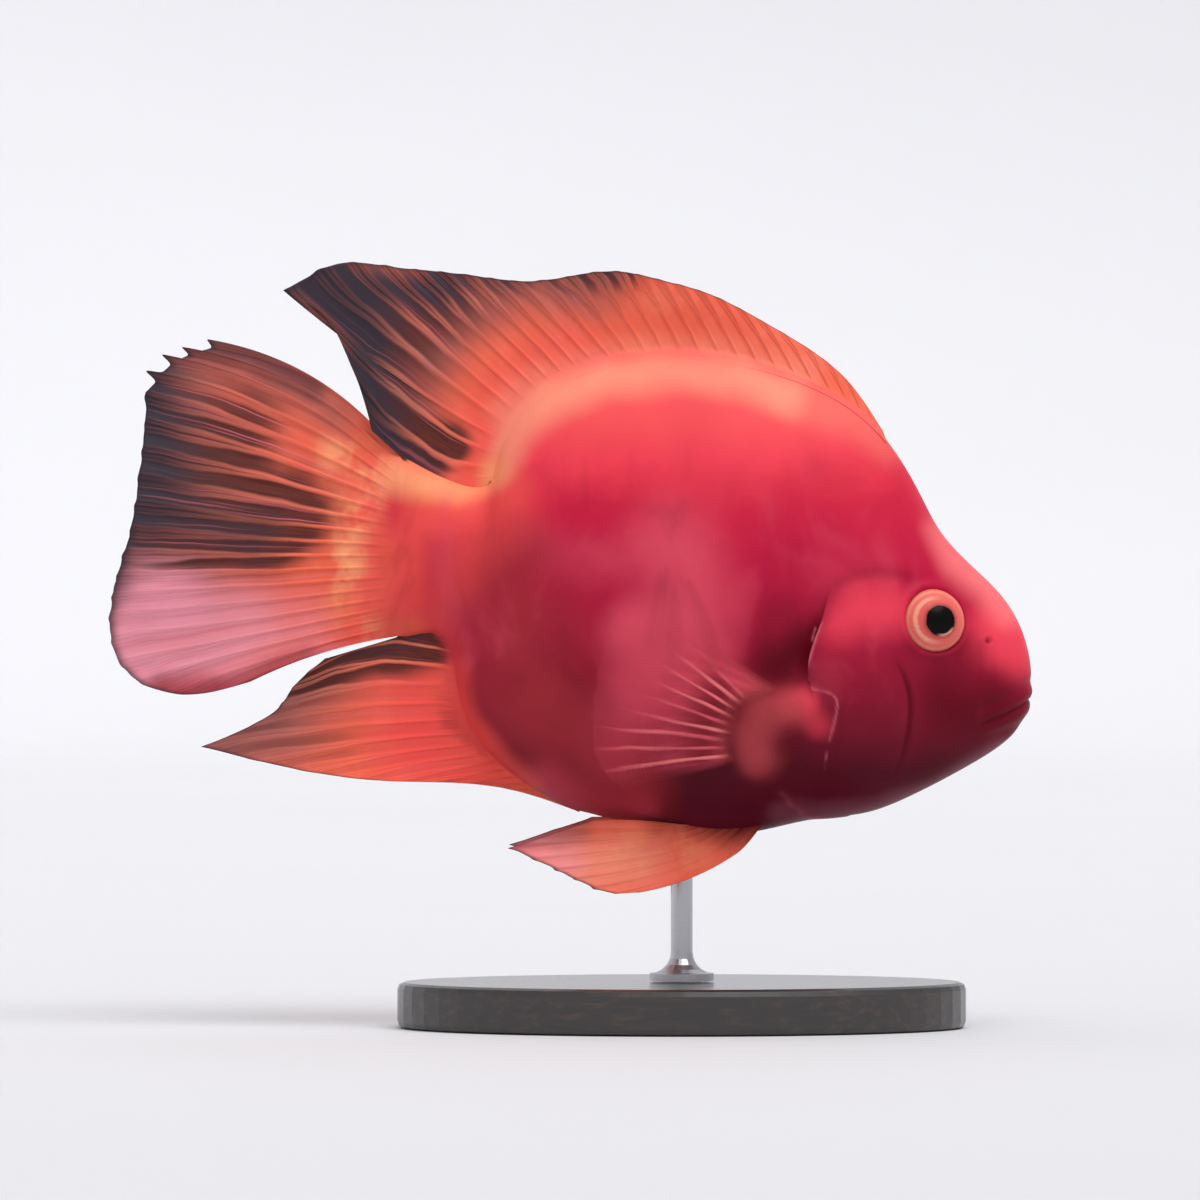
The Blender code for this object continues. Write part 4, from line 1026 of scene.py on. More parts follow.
def volume(points, corners):
    """Signed volume inside a closed surface: the sum over its triangles of a . (b x c) / 6."""
    total = 0.0
    for face in corners:
        for k in range(1, face.shape[1] - 1):
            a, b, c = points[face[:, 0]], points[face[:, k]], points[face[:, k + 1]]
            total += np.einsum("ij,ij->", a, np.cross(b, c)) / 6
    return total


def closed_mesh(name, loops, ends, uv, marks, finish, uv_name="FanUV"):
    """A closed mesh through loops of points, each of which closes on itself.

    loops is rows x columns x 3. An end is drawn to a pole, zipped straight across between the halves of its
    loop, or left open. uv has a column more than loops, so that it doesn't jump at the seam, and marks are
    numbers on the loops by name. All faces turn over if the volume is negative.
    """
    rows, columns = loops.shape[:2]
    points = loops.reshape(-1, 3)
    values = {mark: np.broadcast_to(number, (rows, columns)).ravel() for mark, number in marks.items()}
    r, c = np.arange(rows - 1)[:, None], np.arange(columns)[None, :]
    after = (c + 1) % columns
    quads = np.stack(np.broadcast_arrays(
        r * columns + c, r * columns + after, (r + 1) * columns + after, (r + 1) * columns + c), axis=-1)
    quad_uv = np.stack([uv[r, c], uv[r, c + 1], uv[r + 1, c + 1], uv[r + 1, c]], axis=-2)
    faces, face_uv = [quads.reshape(-1, 4)], [quad_uv.reshape(-1, 4, 2)]
    c = np.arange(columns)
    for row, end in ((0, ends[0]), (rows - 1, ends[1])):
        first, second = (c + 1, c) if row == 0 else (c, c + 1)
        if end == "pole":
            pole = len(points)
            points = np.concatenate([points, points[row * columns + c].mean(axis=0)[None]])
            values = {mark: np.append(number, number[row * columns + c].mean())
                      for mark, number in values.items()}
            faces.append(np.stack([row * columns + first % columns, row * columns + second % columns,
                                   np.full(columns, pole)], axis=-1))
            middle = np.broadcast_to(uv[row].mean(axis=0), (columns, 2))
            face_uv.append(np.stack([uv[row, first], uv[row, second], middle], axis=1))
        elif end == "zip":
            half = np.arange(columns // 2 - 1)
            near = (half + 1, half) if row == 0 else (half, half + 1)
            ring = np.stack([near[0], near[1], columns - 1 - near[1], columns - 1 - near[0]], axis=-1)
            faces.append(row * columns + ring)
            face_uv.append(uv[row][ring])
    if volume(points, faces) < 0:
        faces, face_uv = [face[:, ::-1] for face in faces], [corner[:, ::-1] for corner in face_uv]
    sizes = np.concatenate([np.full(len(face), face.shape[1]) for face in faces])
    mesh = bpy.data.meshes.new(name)
    mesh.vertices.add(len(points))
    mesh.vertices.foreach_set("co", points.astype(np.float32).ravel())
    mesh.loops.add(int(sizes.sum()))
    mesh.loops.foreach_set("vertex_index", np.concatenate([face.ravel() for face in faces]).astype(np.int32))
    mesh.polygons.add(len(sizes))
    mesh.polygons.foreach_set("loop_start", np.concatenate([[0], np.cumsum(sizes)[:-1]]).astype(np.int32))
    mesh.update(calc_edges=True)
    layer = mesh.uv_layers.new(name=uv_name)
    layer.data.foreach_set("uv", np.concatenate([corner.ravel() for corner in face_uv]).astype(np.float32))
    for mark, number in values.items():
        mesh.attributes.new(mark, "FLOAT", "POINT").data.foreach_set("value", number.astype(np.float32))
    mesh.validate()
    mesh.shade_smooth()
    mesh.materials.append(finish)
    made = bpy.data.objects.new(name, mesh)
    bpy.context.scene.collection.objects.link(made)
    return made


def dress(made, slot, *nodes):
    """Has a piece ride on the body, in place of the nodes that it covers."""
    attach(made, "root")
    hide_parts(*nodes)


def eye_frame(side):
    """Centre of an eyeball and the matrix of its turn. side is 1 on the left and -1 on the right."""
    x, z = EYE_PLACE
    centre = np.array((x, side * (skin_at(EYE_PLACE, swells=CHEEK_SWELLS)[1] - EYE_SUNK), z))
    turn = Euler((side * EYE_PITCH, 0, -side * EYE_YAW)).to_matrix()
    return centre, np.array(turn)


def ring_places(count):
    """Places of the rings along the body, drawn together in proportion to how fine the skin is there."""
    at = np.linspace(0, TAIL, 4001)
    closeness = 1 + HEAD_CLOSENESS * smooth_step(at, GILL + 6 * MM, GILL - 4 * MM)
    closeness += GILL_CLOSENESS * bump(at, GILL, 1.6 * MM) + LIP_CLOSENESS * bump(at, 0, 4 * MM)
    sum_so_far = np.concatenate([[0], np.cumsum((closeness[1:] + closeness[:-1]) / 2)])
    return np.interp(np.linspace(0, 1, count + 1)[1:], sum_so_far / sum_so_far[-1], at)


def turn_places(count):
    """Places of the points round the body, from the back to the left, u + a sin 2u, closest on the flanks."""
    u = np.arange(count) * 2 * math.pi / count
    return u + TURN_SHIFT * np.sin(2 * u)


def drawn_to_gill(along, turn):
    """Rings near the gill, bent so that one of them runs along the edge of the gill cover."""
    edge = np.full(len(turn), GILL)
    for _ in range(EDGE_ROUNDS):
        here = skin_point(edge, turn, CHEEK_SWELLS)
        edge += EDGE_PACE * (here[:, 0] - gill_edge(np.clip(here[:, 2], *GILL_EDGE_SPAN)))
        edge = np.clip(edge, GILL - EDGE_SHIFT, GILL + EDGE_SHIFT)
    shown = between(skin_point(edge, turn, CHEEK_SWELLS)[:, 2], GILL_FOOT, GILL_TOP)
    shift = (edge - GILL) * shown
    return along[:, None] + shift[None, :] * bump(along, GILL, EDGE_REACH)[:, None], shown


def unit(vectors):
    """Vectors at length 1."""
    return vectors / np.maximum(np.linalg.norm(vectors, axis=-1, keepdims=True), 1e-12)


def mouth_relief(points, body):
    """Height of the lips and depth of the line between them: bells over the distance from the line. The line
    is also given back, as a mask of painted shade.
    """
    along = MOUTH_CORNER - MOUTH_FRONT
    length = np.linalg.norm(along)
    along = along / length
    place = points[..., [0, 2]] - MOUTH_FRONT
    run = place @ along
    off = place @ np.array((along[1], -along[0])) + MOUTH_BOW * np.sin(math.pi * np.clip(run / length, 0, 1))
    shown = smooth_step(run, *(length + MOUTH_END))
    lips = bump(off, LIP_OFFSET, LIP_REACH) + bump(off, -LIP_OFFSET, LIP_REACH)
    furrow = bump(np.abs(off), LIP_FURROW_OFFSET, LIP_FURROW_REACH)
    line = bump(off, 0, MOUTH_LINE_REACH)
    return shown * (body.lip * lips - body.groove * line - LIP_FURROW_DEPTH * furrow), shown * line


def eye_relief(points, body, radius):
    """The raised ring round each eye, a faint furrow outside it, and the socket inside it."""
    height = np.zeros(points.shape[:2])
    for side in (1, -1):
        centre, turn = eye_frame(side)
        local = (points - centre) @ turn
        rho = np.hypot(local[..., 0], local[..., 2])
        here = points[..., 1] * side > 0
        ring = body.lid * bump(rho, radius + LID_OFFSET, LID_REACH)
        ring -= LID_FURROW_DEPTH * bump(rho, radius + LID_FURROW_OFFSET, LID_FURROW_REACH)
        socket = SOCKET_DEPTH * smooth_step(rho, *(radius + SOCKET_END))
        height += here * (ring - socket)
    return height


def stepped(points, shown):
    """How much of its step the gill cover's edge has at a height: none below, where a thread carries on."""
    return shown * smooth_step(points[..., 2], *GILL_STEP_FOOT)


def gill_relief(points, behind, shown, body):
    """The gill cover's edge: a soft rim before it and a hollow behind it, whose depth is also given back as a
    mask of painted shade. behind is the distance past it.
    """
    past = behind > 0
    depth = stepped(points, shown)
    hollow = np.where(past, bump(behind, 0, GILL_HOLLOW_REACH), 0)
    rim = np.where(past, 0, bump(behind, GILL_RIM_OFFSET, GILL_RIM_REACH))
    height = depth * (GILL_RIM_HEIGHT * rim - body.gill_step * hollow)
    lap = np.where(past, -0.5 * bump(behind, 0, GILL_LAP_BEHIND), bump(behind, 0, GILL_LAP_BEFORE))
    shift = depth * lap
    return height, shift * body.gill_overlap, depth * hollow


def fold_relief(points, body):
    """The cheek's crease, the throat's fold, the thread along the gill cover and the pectoral fin's pad, with
    a mask of painted shade in the crease and along the cheek's top, and one of painted highlight on the
    threads and the fold.
    """
    x, z = points[..., 0], points[..., 2]
    before = x - cheek_crease(np.clip(z, *CREASE_SPAN))
    shown = between(z, CREASE_FOOT, CREASE_TOP)
    crease = shown * bump(before, 0, CREASE_REACH)
    ridge = shown * bump(before, CREASE_RIDGE_OFFSET, CREASE_RIDGE_REACH)
    throat, dome, pad = (
        bump(line_distance(x, z, smooth_line(line)), 0, reach)
        for line, reach in ((THROAT_FOLD, FOLD_REACH), (CHEEK_TOP, CHEEK_TOP_REACH), (PAD, PAD_REACH))
    )
    thread = sum(bump(line_distance(x, z, smooth_line(line)), 0, THREAD_REACH) for line in GILL_THREADS)
    cup = bump(np.hypot(x - CUP_PLACE[0], z - CUP_PLACE[1]), 0, CUP_REACH)
    height = -body.crease * crease + CREASE_RIDGE_HEIGHT * ridge + body.fold * throat + THREAD_HEIGHT * thread
    height += PAD_HEIGHT * pad - CUP_DEPTH * cup - CHEEK_TOP_DEPTH * dome
    return height, np.clip(crease + 0.3 * dome, 0, 1), np.clip(0.6 * thread + 0.15 * throat, 0, 1)


def make_skin(body, finish, radius):
    """One skin over head, gill covers, trunk and stalk: the solids' own loft, raised and sunk by the reliefs.

    p' = p + n * height + t * shift, with n the outward normal and t the way towards the tail.
    """
    rings, turn = ring_places(SKIN_RINGS), turn_places(SKIN_AROUND)
    along, shown = drawn_to_gill(rings, turn)
    rows = np.broadcast_to(rings[:, None], along.shape)
    cheeks, shoulders = skin_point(along, turn[None, :], CHEEK_SWELLS), skin_point(along, turn[None, :])
    meeting = GILL_MEETING + GILL_SOFT_MEETING * (1 - stepped(shoulders, shown))
    points = cheeks + smooth_step(rows - GILL, -meeting, meeting)[..., None] * (shoulders - cheeks)
    backwards = unit(np.gradient(shoulders, axis=0))
    round_body = unit(np.roll(shoulders, -1, axis=1) - np.roll(shoulders, 1, axis=1))
    outwards = unit(np.cross(round_body, backwards))
    outwards *= np.sign(np.mean(outwards[..., 1] * np.sin(turn)[None, :]))

    behind = rows - GILL
    mouth_height, mouth_line = mouth_relief(points, body)
    gill_height, gill_shift, hollow = gill_relief(points, behind, shown[None, :], body)
    fold_height, crease, sheen = fold_relief(points, body)
    x, z = points[..., 0], points[..., 2]
    nostril = np.hypot(x - NOSTRIL_PLACE[0], z - NOSTRIL_PLACE[1])
    nostril_hole = bump(nostril, 0, NOSTRIL_REACH)
    waves = np.sin(x / WAVE_LENGTH + 1.3 * np.sin(z / WAVE_RISE)) * np.sin(turn)[None, :] ** 2
    on_back = between(along, (GILL, GILL + 8 * MM), (SADDLE + 4 * MM, SADDLE - 4 * MM))
    on_belly = between(along, (VENT - 4 * MM, VENT + 4 * MM), (STALK + 6 * MM, STALK))
    sheath = bump(points[..., 1], 0, SHEATH_REACH) * np.where(np.cos(turn)[None, :] > 0, on_back, on_belly)
    height = mouth_height + gill_height + fold_height + eye_relief(points, body, radius)
    nostril_rim = bump(nostril, NOSTRIL_RIM_RADIUS, NOSTRIL_RIM_REACH)
    height += NOSTRIL_RIM_HEIGHT * nostril_rim - body.nostril * nostril_hole
    taper = smooth_step(along, TAIL - TAPER_LENGTH, TAIL) * np.cos(turn)[None, :] ** 6
    height += WAVE_HEIGHT * waves + SHEATH_HEIGHT * sheath - TAPER_DEPTH * taper
    points = points + outwards * height[..., None] + backwards * gill_shift[..., None]

    marks = flesh_marks(x, z)
    # Masks of painted light: the cheek's highlight before the gill cover's edge, shade in the hollow behind
    # it and in the mouth line, crease, nostrils and hollow, and highlight along the threads and the throat's
    # fold.
    past_edge = smooth_step(behind, GILL_MEETING - meeting, meeting)
    marks["cheek"] = sprayed(CHEEK_HIGHLIGHT, x, z) * (1 - past_edge)
    marks["hollow"] = sprayed(GILL_HOLLOW_SHADE, x, z) * past_edge
    marks["groove"] = np.clip(0.5 * mouth_line + 0.8 * crease + 0.6 * nostril_hole + 0.4 * hollow, 0, 1)
    marks["sheen"] = sheen
    uv_turn = np.append(turn, 2 * math.pi) / (2 * math.pi)
    uv_along = np.concatenate([along, along[:, :1]], axis=1) / TAIL
    uv = np.stack([uv_along, np.broadcast_to(uv_turn, uv_along.shape)], axis=-1)
    nodes = ("head", "gill_cover_left", "gill_cover_right", "trunk", "tail_stalk")
    points[..., 0] += set_back()
    dress(closed_mesh("skin", points, ("pole", "pole"), uv, marks, finish, "BodyUV"), "skin", *nodes)


def make_eye(name, side, settings, finish, node):
    """An eyeball: an ellipsoid of revolution, r sin(a) across and d cos(a) deep, with a bell in front."""
    centre, turn = eye_frame(side)
    polar = np.linspace(POLE_GAP, math.pi - POLE_GAP, EYE_RINGS)[:, None]
    around = np.arange(EYE_AROUND)[None, :] * 2 * math.pi / EYE_AROUND
    rho = settings.radius * np.sin(polar)
    dome = EYE_DOME * bump(rho, 0, EYE_DOME_REACH) * (polar < math.pi / 2)
    depth = settings.depth * np.cos(polar) + dome
    local = np.stack(np.broadcast_arrays(rho * np.cos(around), side * depth, rho * np.sin(around)), axis=-1)
    loops = local @ turn.T + centre + (set_back(), 0, 0)
    plane = np.stack([local[..., 0], local[..., 2]], axis=-1) / settings.radius * 0.5 + 0.5
    uv = np.concatenate([plane, plane[:, :1]], axis=1)
    dress(closed_mesh(name, loops, ("pole", "pole"), uv, {}, finish, "EyeUV"), "eye", node)


def margin(runs, rays):
    """The outer edge at each ray number: smooth along a run, with a corner where two runs meet."""
    edge = np.zeros((len(rays), 2))
    for run in runs:
        run = np.array(run, float)
        here = (rays >= run[0, 0]) & (rays <= run[-1, 0])
        edge[here] = spline_through(run[:, 0], MM * run[:, 1:])(rays[here])
    return edge


def ray_ridge(rays, out):
    """1 on a ray and 0 between two. From about 0.3 of its length a ray forks in two, and later in four.

    The distance to the nearest ray is folded at each fork's spread, so both arms are where it is 0.
    """
    off = np.abs((rays + 0.5) % 1 - 0.5)
    for spread, start, end in FORKS:
        off = np.abs(off - spread * smooth_step(out, start, end))
    return np.exp(-((off / (RIDGE_WIDTH - RIDGE_NARROWING * np.clip(out, 0, 1))) ** 2))


def in_middle_plane(points):
    """Side view points (x, z) as points in space."""
    return np.stack([points[:, 0], np.zeros(len(points)), points[:, 1]], axis=1)


def outward_of_outline(along):
    """The direction square to the body's outline, away from the body, in the side view."""
    step = 0.05 * MM
    run = outline(along + step) - outline(along - step)
    return np.stack([run[:, 1], -run[:, 0]], axis=1) / np.linalg.norm(run, axis=1, keepdims=True)


def ragged(rays, seed):
    """Small unevenness of a fin's edge: a sum of sines of the ray number with seeded phases."""
    draw = np.random.default_rng(seed)
    waves = ((1.7, 0.5), (4.1, 0.3), (9.3, 0.2))
    return sum(size * np.sin(pace * rays + draw.uniform(0, 2 * math.pi)) for pace, size in waves)


def fan(root, edge, bulge, out):
    """Rays from root to edge: root + v (edge - root), bulged by 4 v (1 - v) of a share of the length."""
    v = out[:, None, None]
    chord = edge - root
    across = np.stack([chord[:, 2], np.zeros(len(chord)), -chord[:, 0]], axis=1)
    return root + v * chord + 4 * v * (1 - v) * (bulge[:, None] * across)


def rows_outwards(rows, sunk):
    """Shares of a ray's length from sunk, inside the skin, to 1, closest at the root and the edge."""
    u = np.linspace(0, 1, rows)
    return sunk + (1 - sunk) * (u - ROW_SHIFT * np.sin(2 * math.pi * u))


def half_thickness(rays, out, length, fins, flare, relief=1.0):
    """Half thickness over a fan: flesh at the root, thin membrane at the edge, and the rays' ridges."""
    v = np.clip(out, 0, 1)[:, None]
    flesh = fins.edge + (fins.root - fins.edge) * (1 - v) ** 4
    ridge = relief * fins.ray * ray_ridge(rays[None, :], v) * (1 - 0.72 * v) * smooth_step(v, 0.02, 0.2)
    return flesh + ridge + flare * np.clip(1 - out[:, None] * length / fins.fillet, 0, 1.3) ** 2


def fin_piece(kind, word, middle, half, across, rays, count, out, finish, slot="fin", side=1):
    """A closed fin: the middle surface moved both ways by half its thickness, joined round its edge.

    word tells the two fins of a pair apart, and side is -1 for the right one.
    """
    front, back = middle + half[..., None] * across, middle - half[..., None] * across
    loops = np.concatenate([front, back[:, ::-1]], axis=1) * (1, side, 1) + (set_back(), 0, 0)
    place = np.concatenate([middle, middle[:, ::-1]], axis=1)
    x, z = place[..., 0], place[..., 2]
    both = np.concatenate([rays, rays[::-1]])
    u = np.append(both, both[0]) / UV_RAYS
    v = np.clip(out, 0, 1)
    uv = np.stack(np.broadcast_arrays(u[None, :], v[:, None]), axis=-1)
    marks = flesh_marks(x, z)
    for pigment in (*FIN_COAT, "russet", "charcoal"):
        marks[pigment] = sprayed(FIN_STROKES[kind].get(pigment, ()), x, z)
    side_rim = np.minimum(both, count - both)[None, :]
    marks["rim"] = np.clip(bump(v, 1, 0.02)[:, None] + 0.7 * bump(side_rim, 0, 0.12) * v[:, None] ** 2, 0, 1)
    node = kind + word
    dress(closed_mesh(node + "_rays", loops, ("zip", "zip"), uv, marks, finish), slot, node)


def keep_clear_of_stalk(middle, half, last):
    """Bends the hindmost rays clear of the tail stalk and of the tail fin's root, along which they lie.

    last is 1 on the very last ray, which is laid on the stalk so that no gap shows.
    """
    stalk = np.linspace(SADDLE + 0.5 * MM, TAIL, 80)
    above, below = outline(stalk), outline(-stalk)
    x, z = middle[..., 0], middle[..., 2]
    past_end = np.clip(above[-1, 0] - x, 0, None)
    upper = np.interp(-x, -above[:, 0], above[:, 1]) + STALK_ROOM + TAIL_RISE * past_end
    lower = np.interp(-x, -below[:, 0], below[:, 1]) - STALK_ROOM - TAIL_FALL * past_end
    beside = (x < above[0, 0]) & (past_end < STALK_CLEARING) & (half > 0)
    centre = (upper + lower) / 2
    laid = last * smooth_step(past_end, *LAID_END)
    z[:] = np.where(beside & (z > centre), np.maximum(z, upper) * (1 - laid) + upper * laid, z)
    z[:] = np.where(beside & (z <= centre), np.minimum(z, lower), z)


# How far the root of a middle fin lies inside the outline, the ripple of its membrane from ray to ray, and
# how deep the notches between rays and the ragged edge are, as shares of a ray's length.
ROOT_SUNK, MIDDLE_RIPPLE, MIDDLE_NOTCH, MIDDLE_RAGGED = 0.4 * MM, 0.25 * MM, 0.006, 0.004
# Form of each middle fin: edge, rays, where it grows along the outline, bulge, wave and columns to a ray.
MIDDLE_FORMS = {
    "dorsal_fin": (DORSAL_EDGE, DORSAL_RAYS, (GILL + 1.5 * MM, SADDLE + 0.5 * MM), DORSAL_BULGE, 2.2 * MM,
                   DORSAL_COLUMNS),
    "anal_fin": (ANAL_EDGE, ANAL_RAYS, (-(VENT - 1.0 * MM), -(STALK + 2.5 * MM)), ANAL_BULGE, 2.0 * MM,
                 ANAL_COLUMNS),
}


def make_middle_fin(name, fins, finish):
    """A fin in the middle plane, rooted on the outline, which waves by sin(ray) times v^1.6 sideways."""
    runs, count, along, bulge, wave, columns = MIDDLE_FORMS[name]
    rays = np.linspace(0, count, count * columns + 1)
    out = rows_outwards(MIDDLE_ROWS, MIDDLE_START)
    places = np.interp(rays, (0, count), along)
    root = in_middle_plane(outline(places) - outward_of_outline(places) * ROOT_SUNK)
    edge = in_middle_plane(margin(runs, rays))
    chord = edge - root
    notch = MIDDLE_NOTCH * (ray_ridge(rays, 0.0) - 1) * (rays > 1) + MIDDLE_RAGGED * ragged(rays, count)
    edge = edge + notch[:, None] * chord
    middle = fan(root, edge, np.interp(rays, *np.transpose(bulge)), out)
    v = np.clip(out, 0, 1)[:, None]
    middle[..., 1] += wave * v**1.6 * np.sin(2 * math.pi * rays / count * 1.6 + 0.6)
    middle[..., 1] += MIDDLE_RIPPLE * v * np.sin(2 * math.pi * rays)
    half = half_thickness(rays, out, np.linalg.norm(chord, axis=1), fins, fins.flare)
    outside = out[:, None] > 0.02
    keep_clear_of_stalk(middle, half * outside, smooth_step(rays, count - 0.5, count))
    fin_piece(name, "", middle, half, SIDEWAYS, rays, count, out, finish)


# The same for the tail fin, with its wave. The notches are deep at the first share of the rays, above, and
# shallow from the second one on.
TAIL_WAVE, TAIL_RIPPLE, TAIL_RAGGED = 3.5 * MM, 0.3 * MM, 0.004
TAIL_NOTCH_SHARES, TAIL_NOTCHES = (0.17, 0.21), (0.055, 0.004)


def make_tail_fin(fins, finish):
    """The tail fin, which carries on from the stalk's last section and thins out to its edge."""
    rays = np.linspace(0, TAIL_RAYS, TAIL_RAYS * TAIL_COLUMNS + 1)
    share = rays / TAIL_RAYS
    out = rows_outwards(TAIL_ROWS, TAIL_START)
    top, bottom = outline(TAIL), outline(-TAIL)
    root = in_middle_plane(top + (bottom - top) * (0.02 + 0.96 * share)[:, None])
    edge = in_middle_plane(margin(TAIL_EDGE, rays))
    notch = np.interp(share, TAIL_NOTCH_SHARES, TAIL_NOTCHES) * (ray_ridge(rays, 0.0) - 1)
    edge += (notch + TAIL_RAGGED * ragged(rays, TAIL_RAYS))[:, None] * (edge - root)
    middle = fan(root, edge, np.interp(rays, *np.transpose(TAIL_BULGE)), out)
    v = np.clip(out, 0, 1)[:, None]
    middle[..., 1] += TAIL_WAVE * v**1.5 * np.sin(2 * math.pi * share * 1.2 + 0.8)
    middle[..., 1] += TAIL_RIPPLE * v * np.sin(2 * math.pi * rays)
    # It comes out through the stalk's skin at a very flat angle, and past it carries on the stalk's taper.
    length = np.linalg.norm(edge - root, axis=1)
    inside = np.clip(out, -1, 0)[:, None] * length
    width = stalk_side(middle[..., 0], middle[..., 2]) + 0.15 * MM + 0.09 * inside
    half = half_thickness(rays, out, length, fins, 0.0) + (width - fins.root) * (1 - v) ** 6
    fin_piece("tail_fin", "", middle, half, SIDEWAYS, rays, TAIL_RAYS, out, finish, slot="tail_fin")


def skin_line(places, seen, turns, count):
    """Points on the left skin along a straight line seen along one axis, one for each ray number."""
    shares = np.linspace(0, 1, 13)
    line = np.array([skin_at(places[0] + (places[1] - places[0]) * share, seen, turns) for share in shares])
    wanted = np.linspace(0, 1, count)
    return np.stack([np.interp(wanted, shares, line[:, i]) for i in range(3)], axis=1)


PAIRED_RIPPLE, PAIRED_NOTCH, PAIRED_RAGGED = 0.2 * MM, 0.010, 0.005
# Form of the paired fins: edge, rays, bulge, splay, height of the rays and flare as shares of the settings,
# and the way that the root is moved into the body.
PAIRED_FORMS = {
    "pectoral_fin": (PECTORAL_EDGE, PECTORAL_RAYS, PECTORAL_BULGE, PECTORAL_SPLAY, 0.0, 0.0,
                     np.array((0, -0.9 * MM, 0))),
    "pelvic_fin": (PELVIC_EDGE, PELVIC_RAYS, PELVIC_BULGE, PELVIC_SPLAY, 0.6, 1.0,
                   np.array((0, 0, 2.4 * MM))),
}


def make_paired_fin(kind, side, word, root, fins, finish):
    """A fin on one side: a fan from under the skin that leaves the body by splay times v^1.25."""
    runs, count, bulge, splay, relief, flare, inwards = PAIRED_FORMS[kind]
    rays = np.linspace(0, count, len(root))
    out = rows_outwards(PAIRED_ROWS, PAIRED_START)
    rim = in_middle_plane(margin(runs, rays))
    rim[:, 1] = root[:, 1]
    notch = PAIRED_NOTCH * (ray_ridge(rays, 0.0) - 1) + PAIRED_RAGGED * ragged(rays, count)
    rim += notch[:, None] * (rim - root)
    middle = fan(root, rim, np.interp(rays, *np.transpose(bulge)), out)
    v = np.clip(out, 0, 1)[:, None]
    middle[..., 1] += splay * v**1.25 + PAIRED_RIPPLE * v * np.sin(2 * math.pi * rays)
    across = np.cross(middle[-1] - root, np.gradient(rim, axis=0)).mean(axis=0)
    across *= np.sign(across[1]) / np.linalg.norm(across)
    length = np.linalg.norm(rim - root, axis=1)
    half = half_thickness(rays, out, length, fins, flare * fins.flare, relief)
    middle += smooth_step(out, 0.3, 0.0)[:, None, None] * inwards
    fin_piece(kind, word, middle, half, across, rays, count, out, finish, side=side)


def scene_settings(context):
    """The settings that the operators read, from the scene."""
    return context.scene.cichlid_pigments, context.scene.cichlid_body, context.scene.cichlid_fins


class CICHLID_OT_skin(bpy.types.Operator):
    """Builds the one skin of head, gill covers, trunk and tail stalk"""

    bl_idname = "cichlid.skin"
    bl_label = "Skin"

    def execute(self, context):
        pigments, body, _ = scene_settings(context)
        make_skin(body, skin_finish(pigments), context.scene.cichlid_eye.radius)
        return {"FINISHED"}


class CICHLID_OT_eyes(bpy.types.Operator):
    """Builds both eyeballs with iris and pupil"""

    bl_idname = "cichlid.eyes"
    bl_label = "Eyes"

    def execute(self, context):
        settings = context.scene.cichlid_eye
        finish = eye_finish(settings)
        for side, node in ((1, "eye_left"), (-1, "eye_right")):
            make_eye(node + "_glossy", side, settings, finish, node)
        return {"FINISHED"}


class CICHLID_OT_middle_fins(bpy.types.Operator):
    """Builds the dorsal fin and the anal fin"""

    bl_idname = "cichlid.middle_fins"
    bl_label = "Dorsal and Anal Fins"

    def execute(self, context):
        pigments, _, fins = scene_settings(context)
        finish = fin_finish("orange fin", pigments, threads=0.5)
        for name in MIDDLE_FORMS:
            make_middle_fin(name, fins, finish)
        return {"FINISHED"}


class CICHLID_OT_tail_fin(bpy.types.Operator):
    """Builds the tail fin"""

    bl_idname = "cichlid.tail_fin"
    bl_label = "Tail Fin"

    def execute(self, context):
        pigments, _, fins = scene_settings(context)
        finish = fin_finish("smoky tail fin", pigments, 0.14, 0.05, glow=0.4, veil=0.6, threads=0.8,
                            root=0.18)
        make_tail_fin(fins, finish)
        return {"FINISHED"}


class CICHLID_OT_paired_fins(bpy.types.Operator):
    """Builds the pectoral fins and the pelvic fins"""

    bl_idname = "cichlid.paired_fins"
    bl_label = "Pectoral and Pelvic Fins"

    def execute(self, context):
        pigments, _, fins = scene_settings(context)
        clear = pectoral_finish("clear pectoral fin", pigments)
        plain = fin_finish("soft pelvic fin", pigments, 0.16, 0.1, threads=0.15, relief=0.25)
        chest = skin_line(PECTORAL_ROOT, (0, 2), (0.0, math.pi), PECTORAL_RAYS * PAIRED_COLUMNS + 1)
        belly = skin_line(PELVIC_ROOT, (0, 1), (0.6 * math.pi, math.pi), PELVIC_RAYS * PAIRED_COLUMNS + 1)
        for side, word in ((1, "_left"), (-1, "_right")):
            for kind, root, finish in (("pectoral_fin", chest, clear), ("pelvic_fin", belly, plain)):
                make_paired_fin(kind, side, word, root, fins, finish)
        return {"FINISHED"}


class CICHLID_OT_stand(bpy.types.Operator):
    """Gives the stand's base and rod their finishes"""

    bl_idname = "cichlid.stand"
    bl_label = "Stand"

    def execute(self, context):
        settings = context.scene.cichlid_stand
        for node, finish in (("stand_base", lacquer_finish(settings)), ("stand_rod", steel_finish(settings))):
            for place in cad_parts[node].material_slots:
                place.material = finish
        return {"FINISHED"}


class CICHLID_OT_stage(bpy.types.Operator):
    """Sets up the pale studio, the lights and the camera"""

    bl_idname = "cichlid.stage"
    bl_label = "Studio"

    def execute(self, context):
        settings = context.scene.cichlid_stage
        make_backdrop(floor_finish(settings))
        make_lights(settings)
        make_camera(settings)
        return {"FINISHED"}


# The studio's floor in metres: where it starts to bend, the bend's radius and the top of the wall.
FLOOR_EDGE, WALL_BEND, WALL_TOP, STUDIO_SIDES = 3.4, 1.0, 4.0, 96


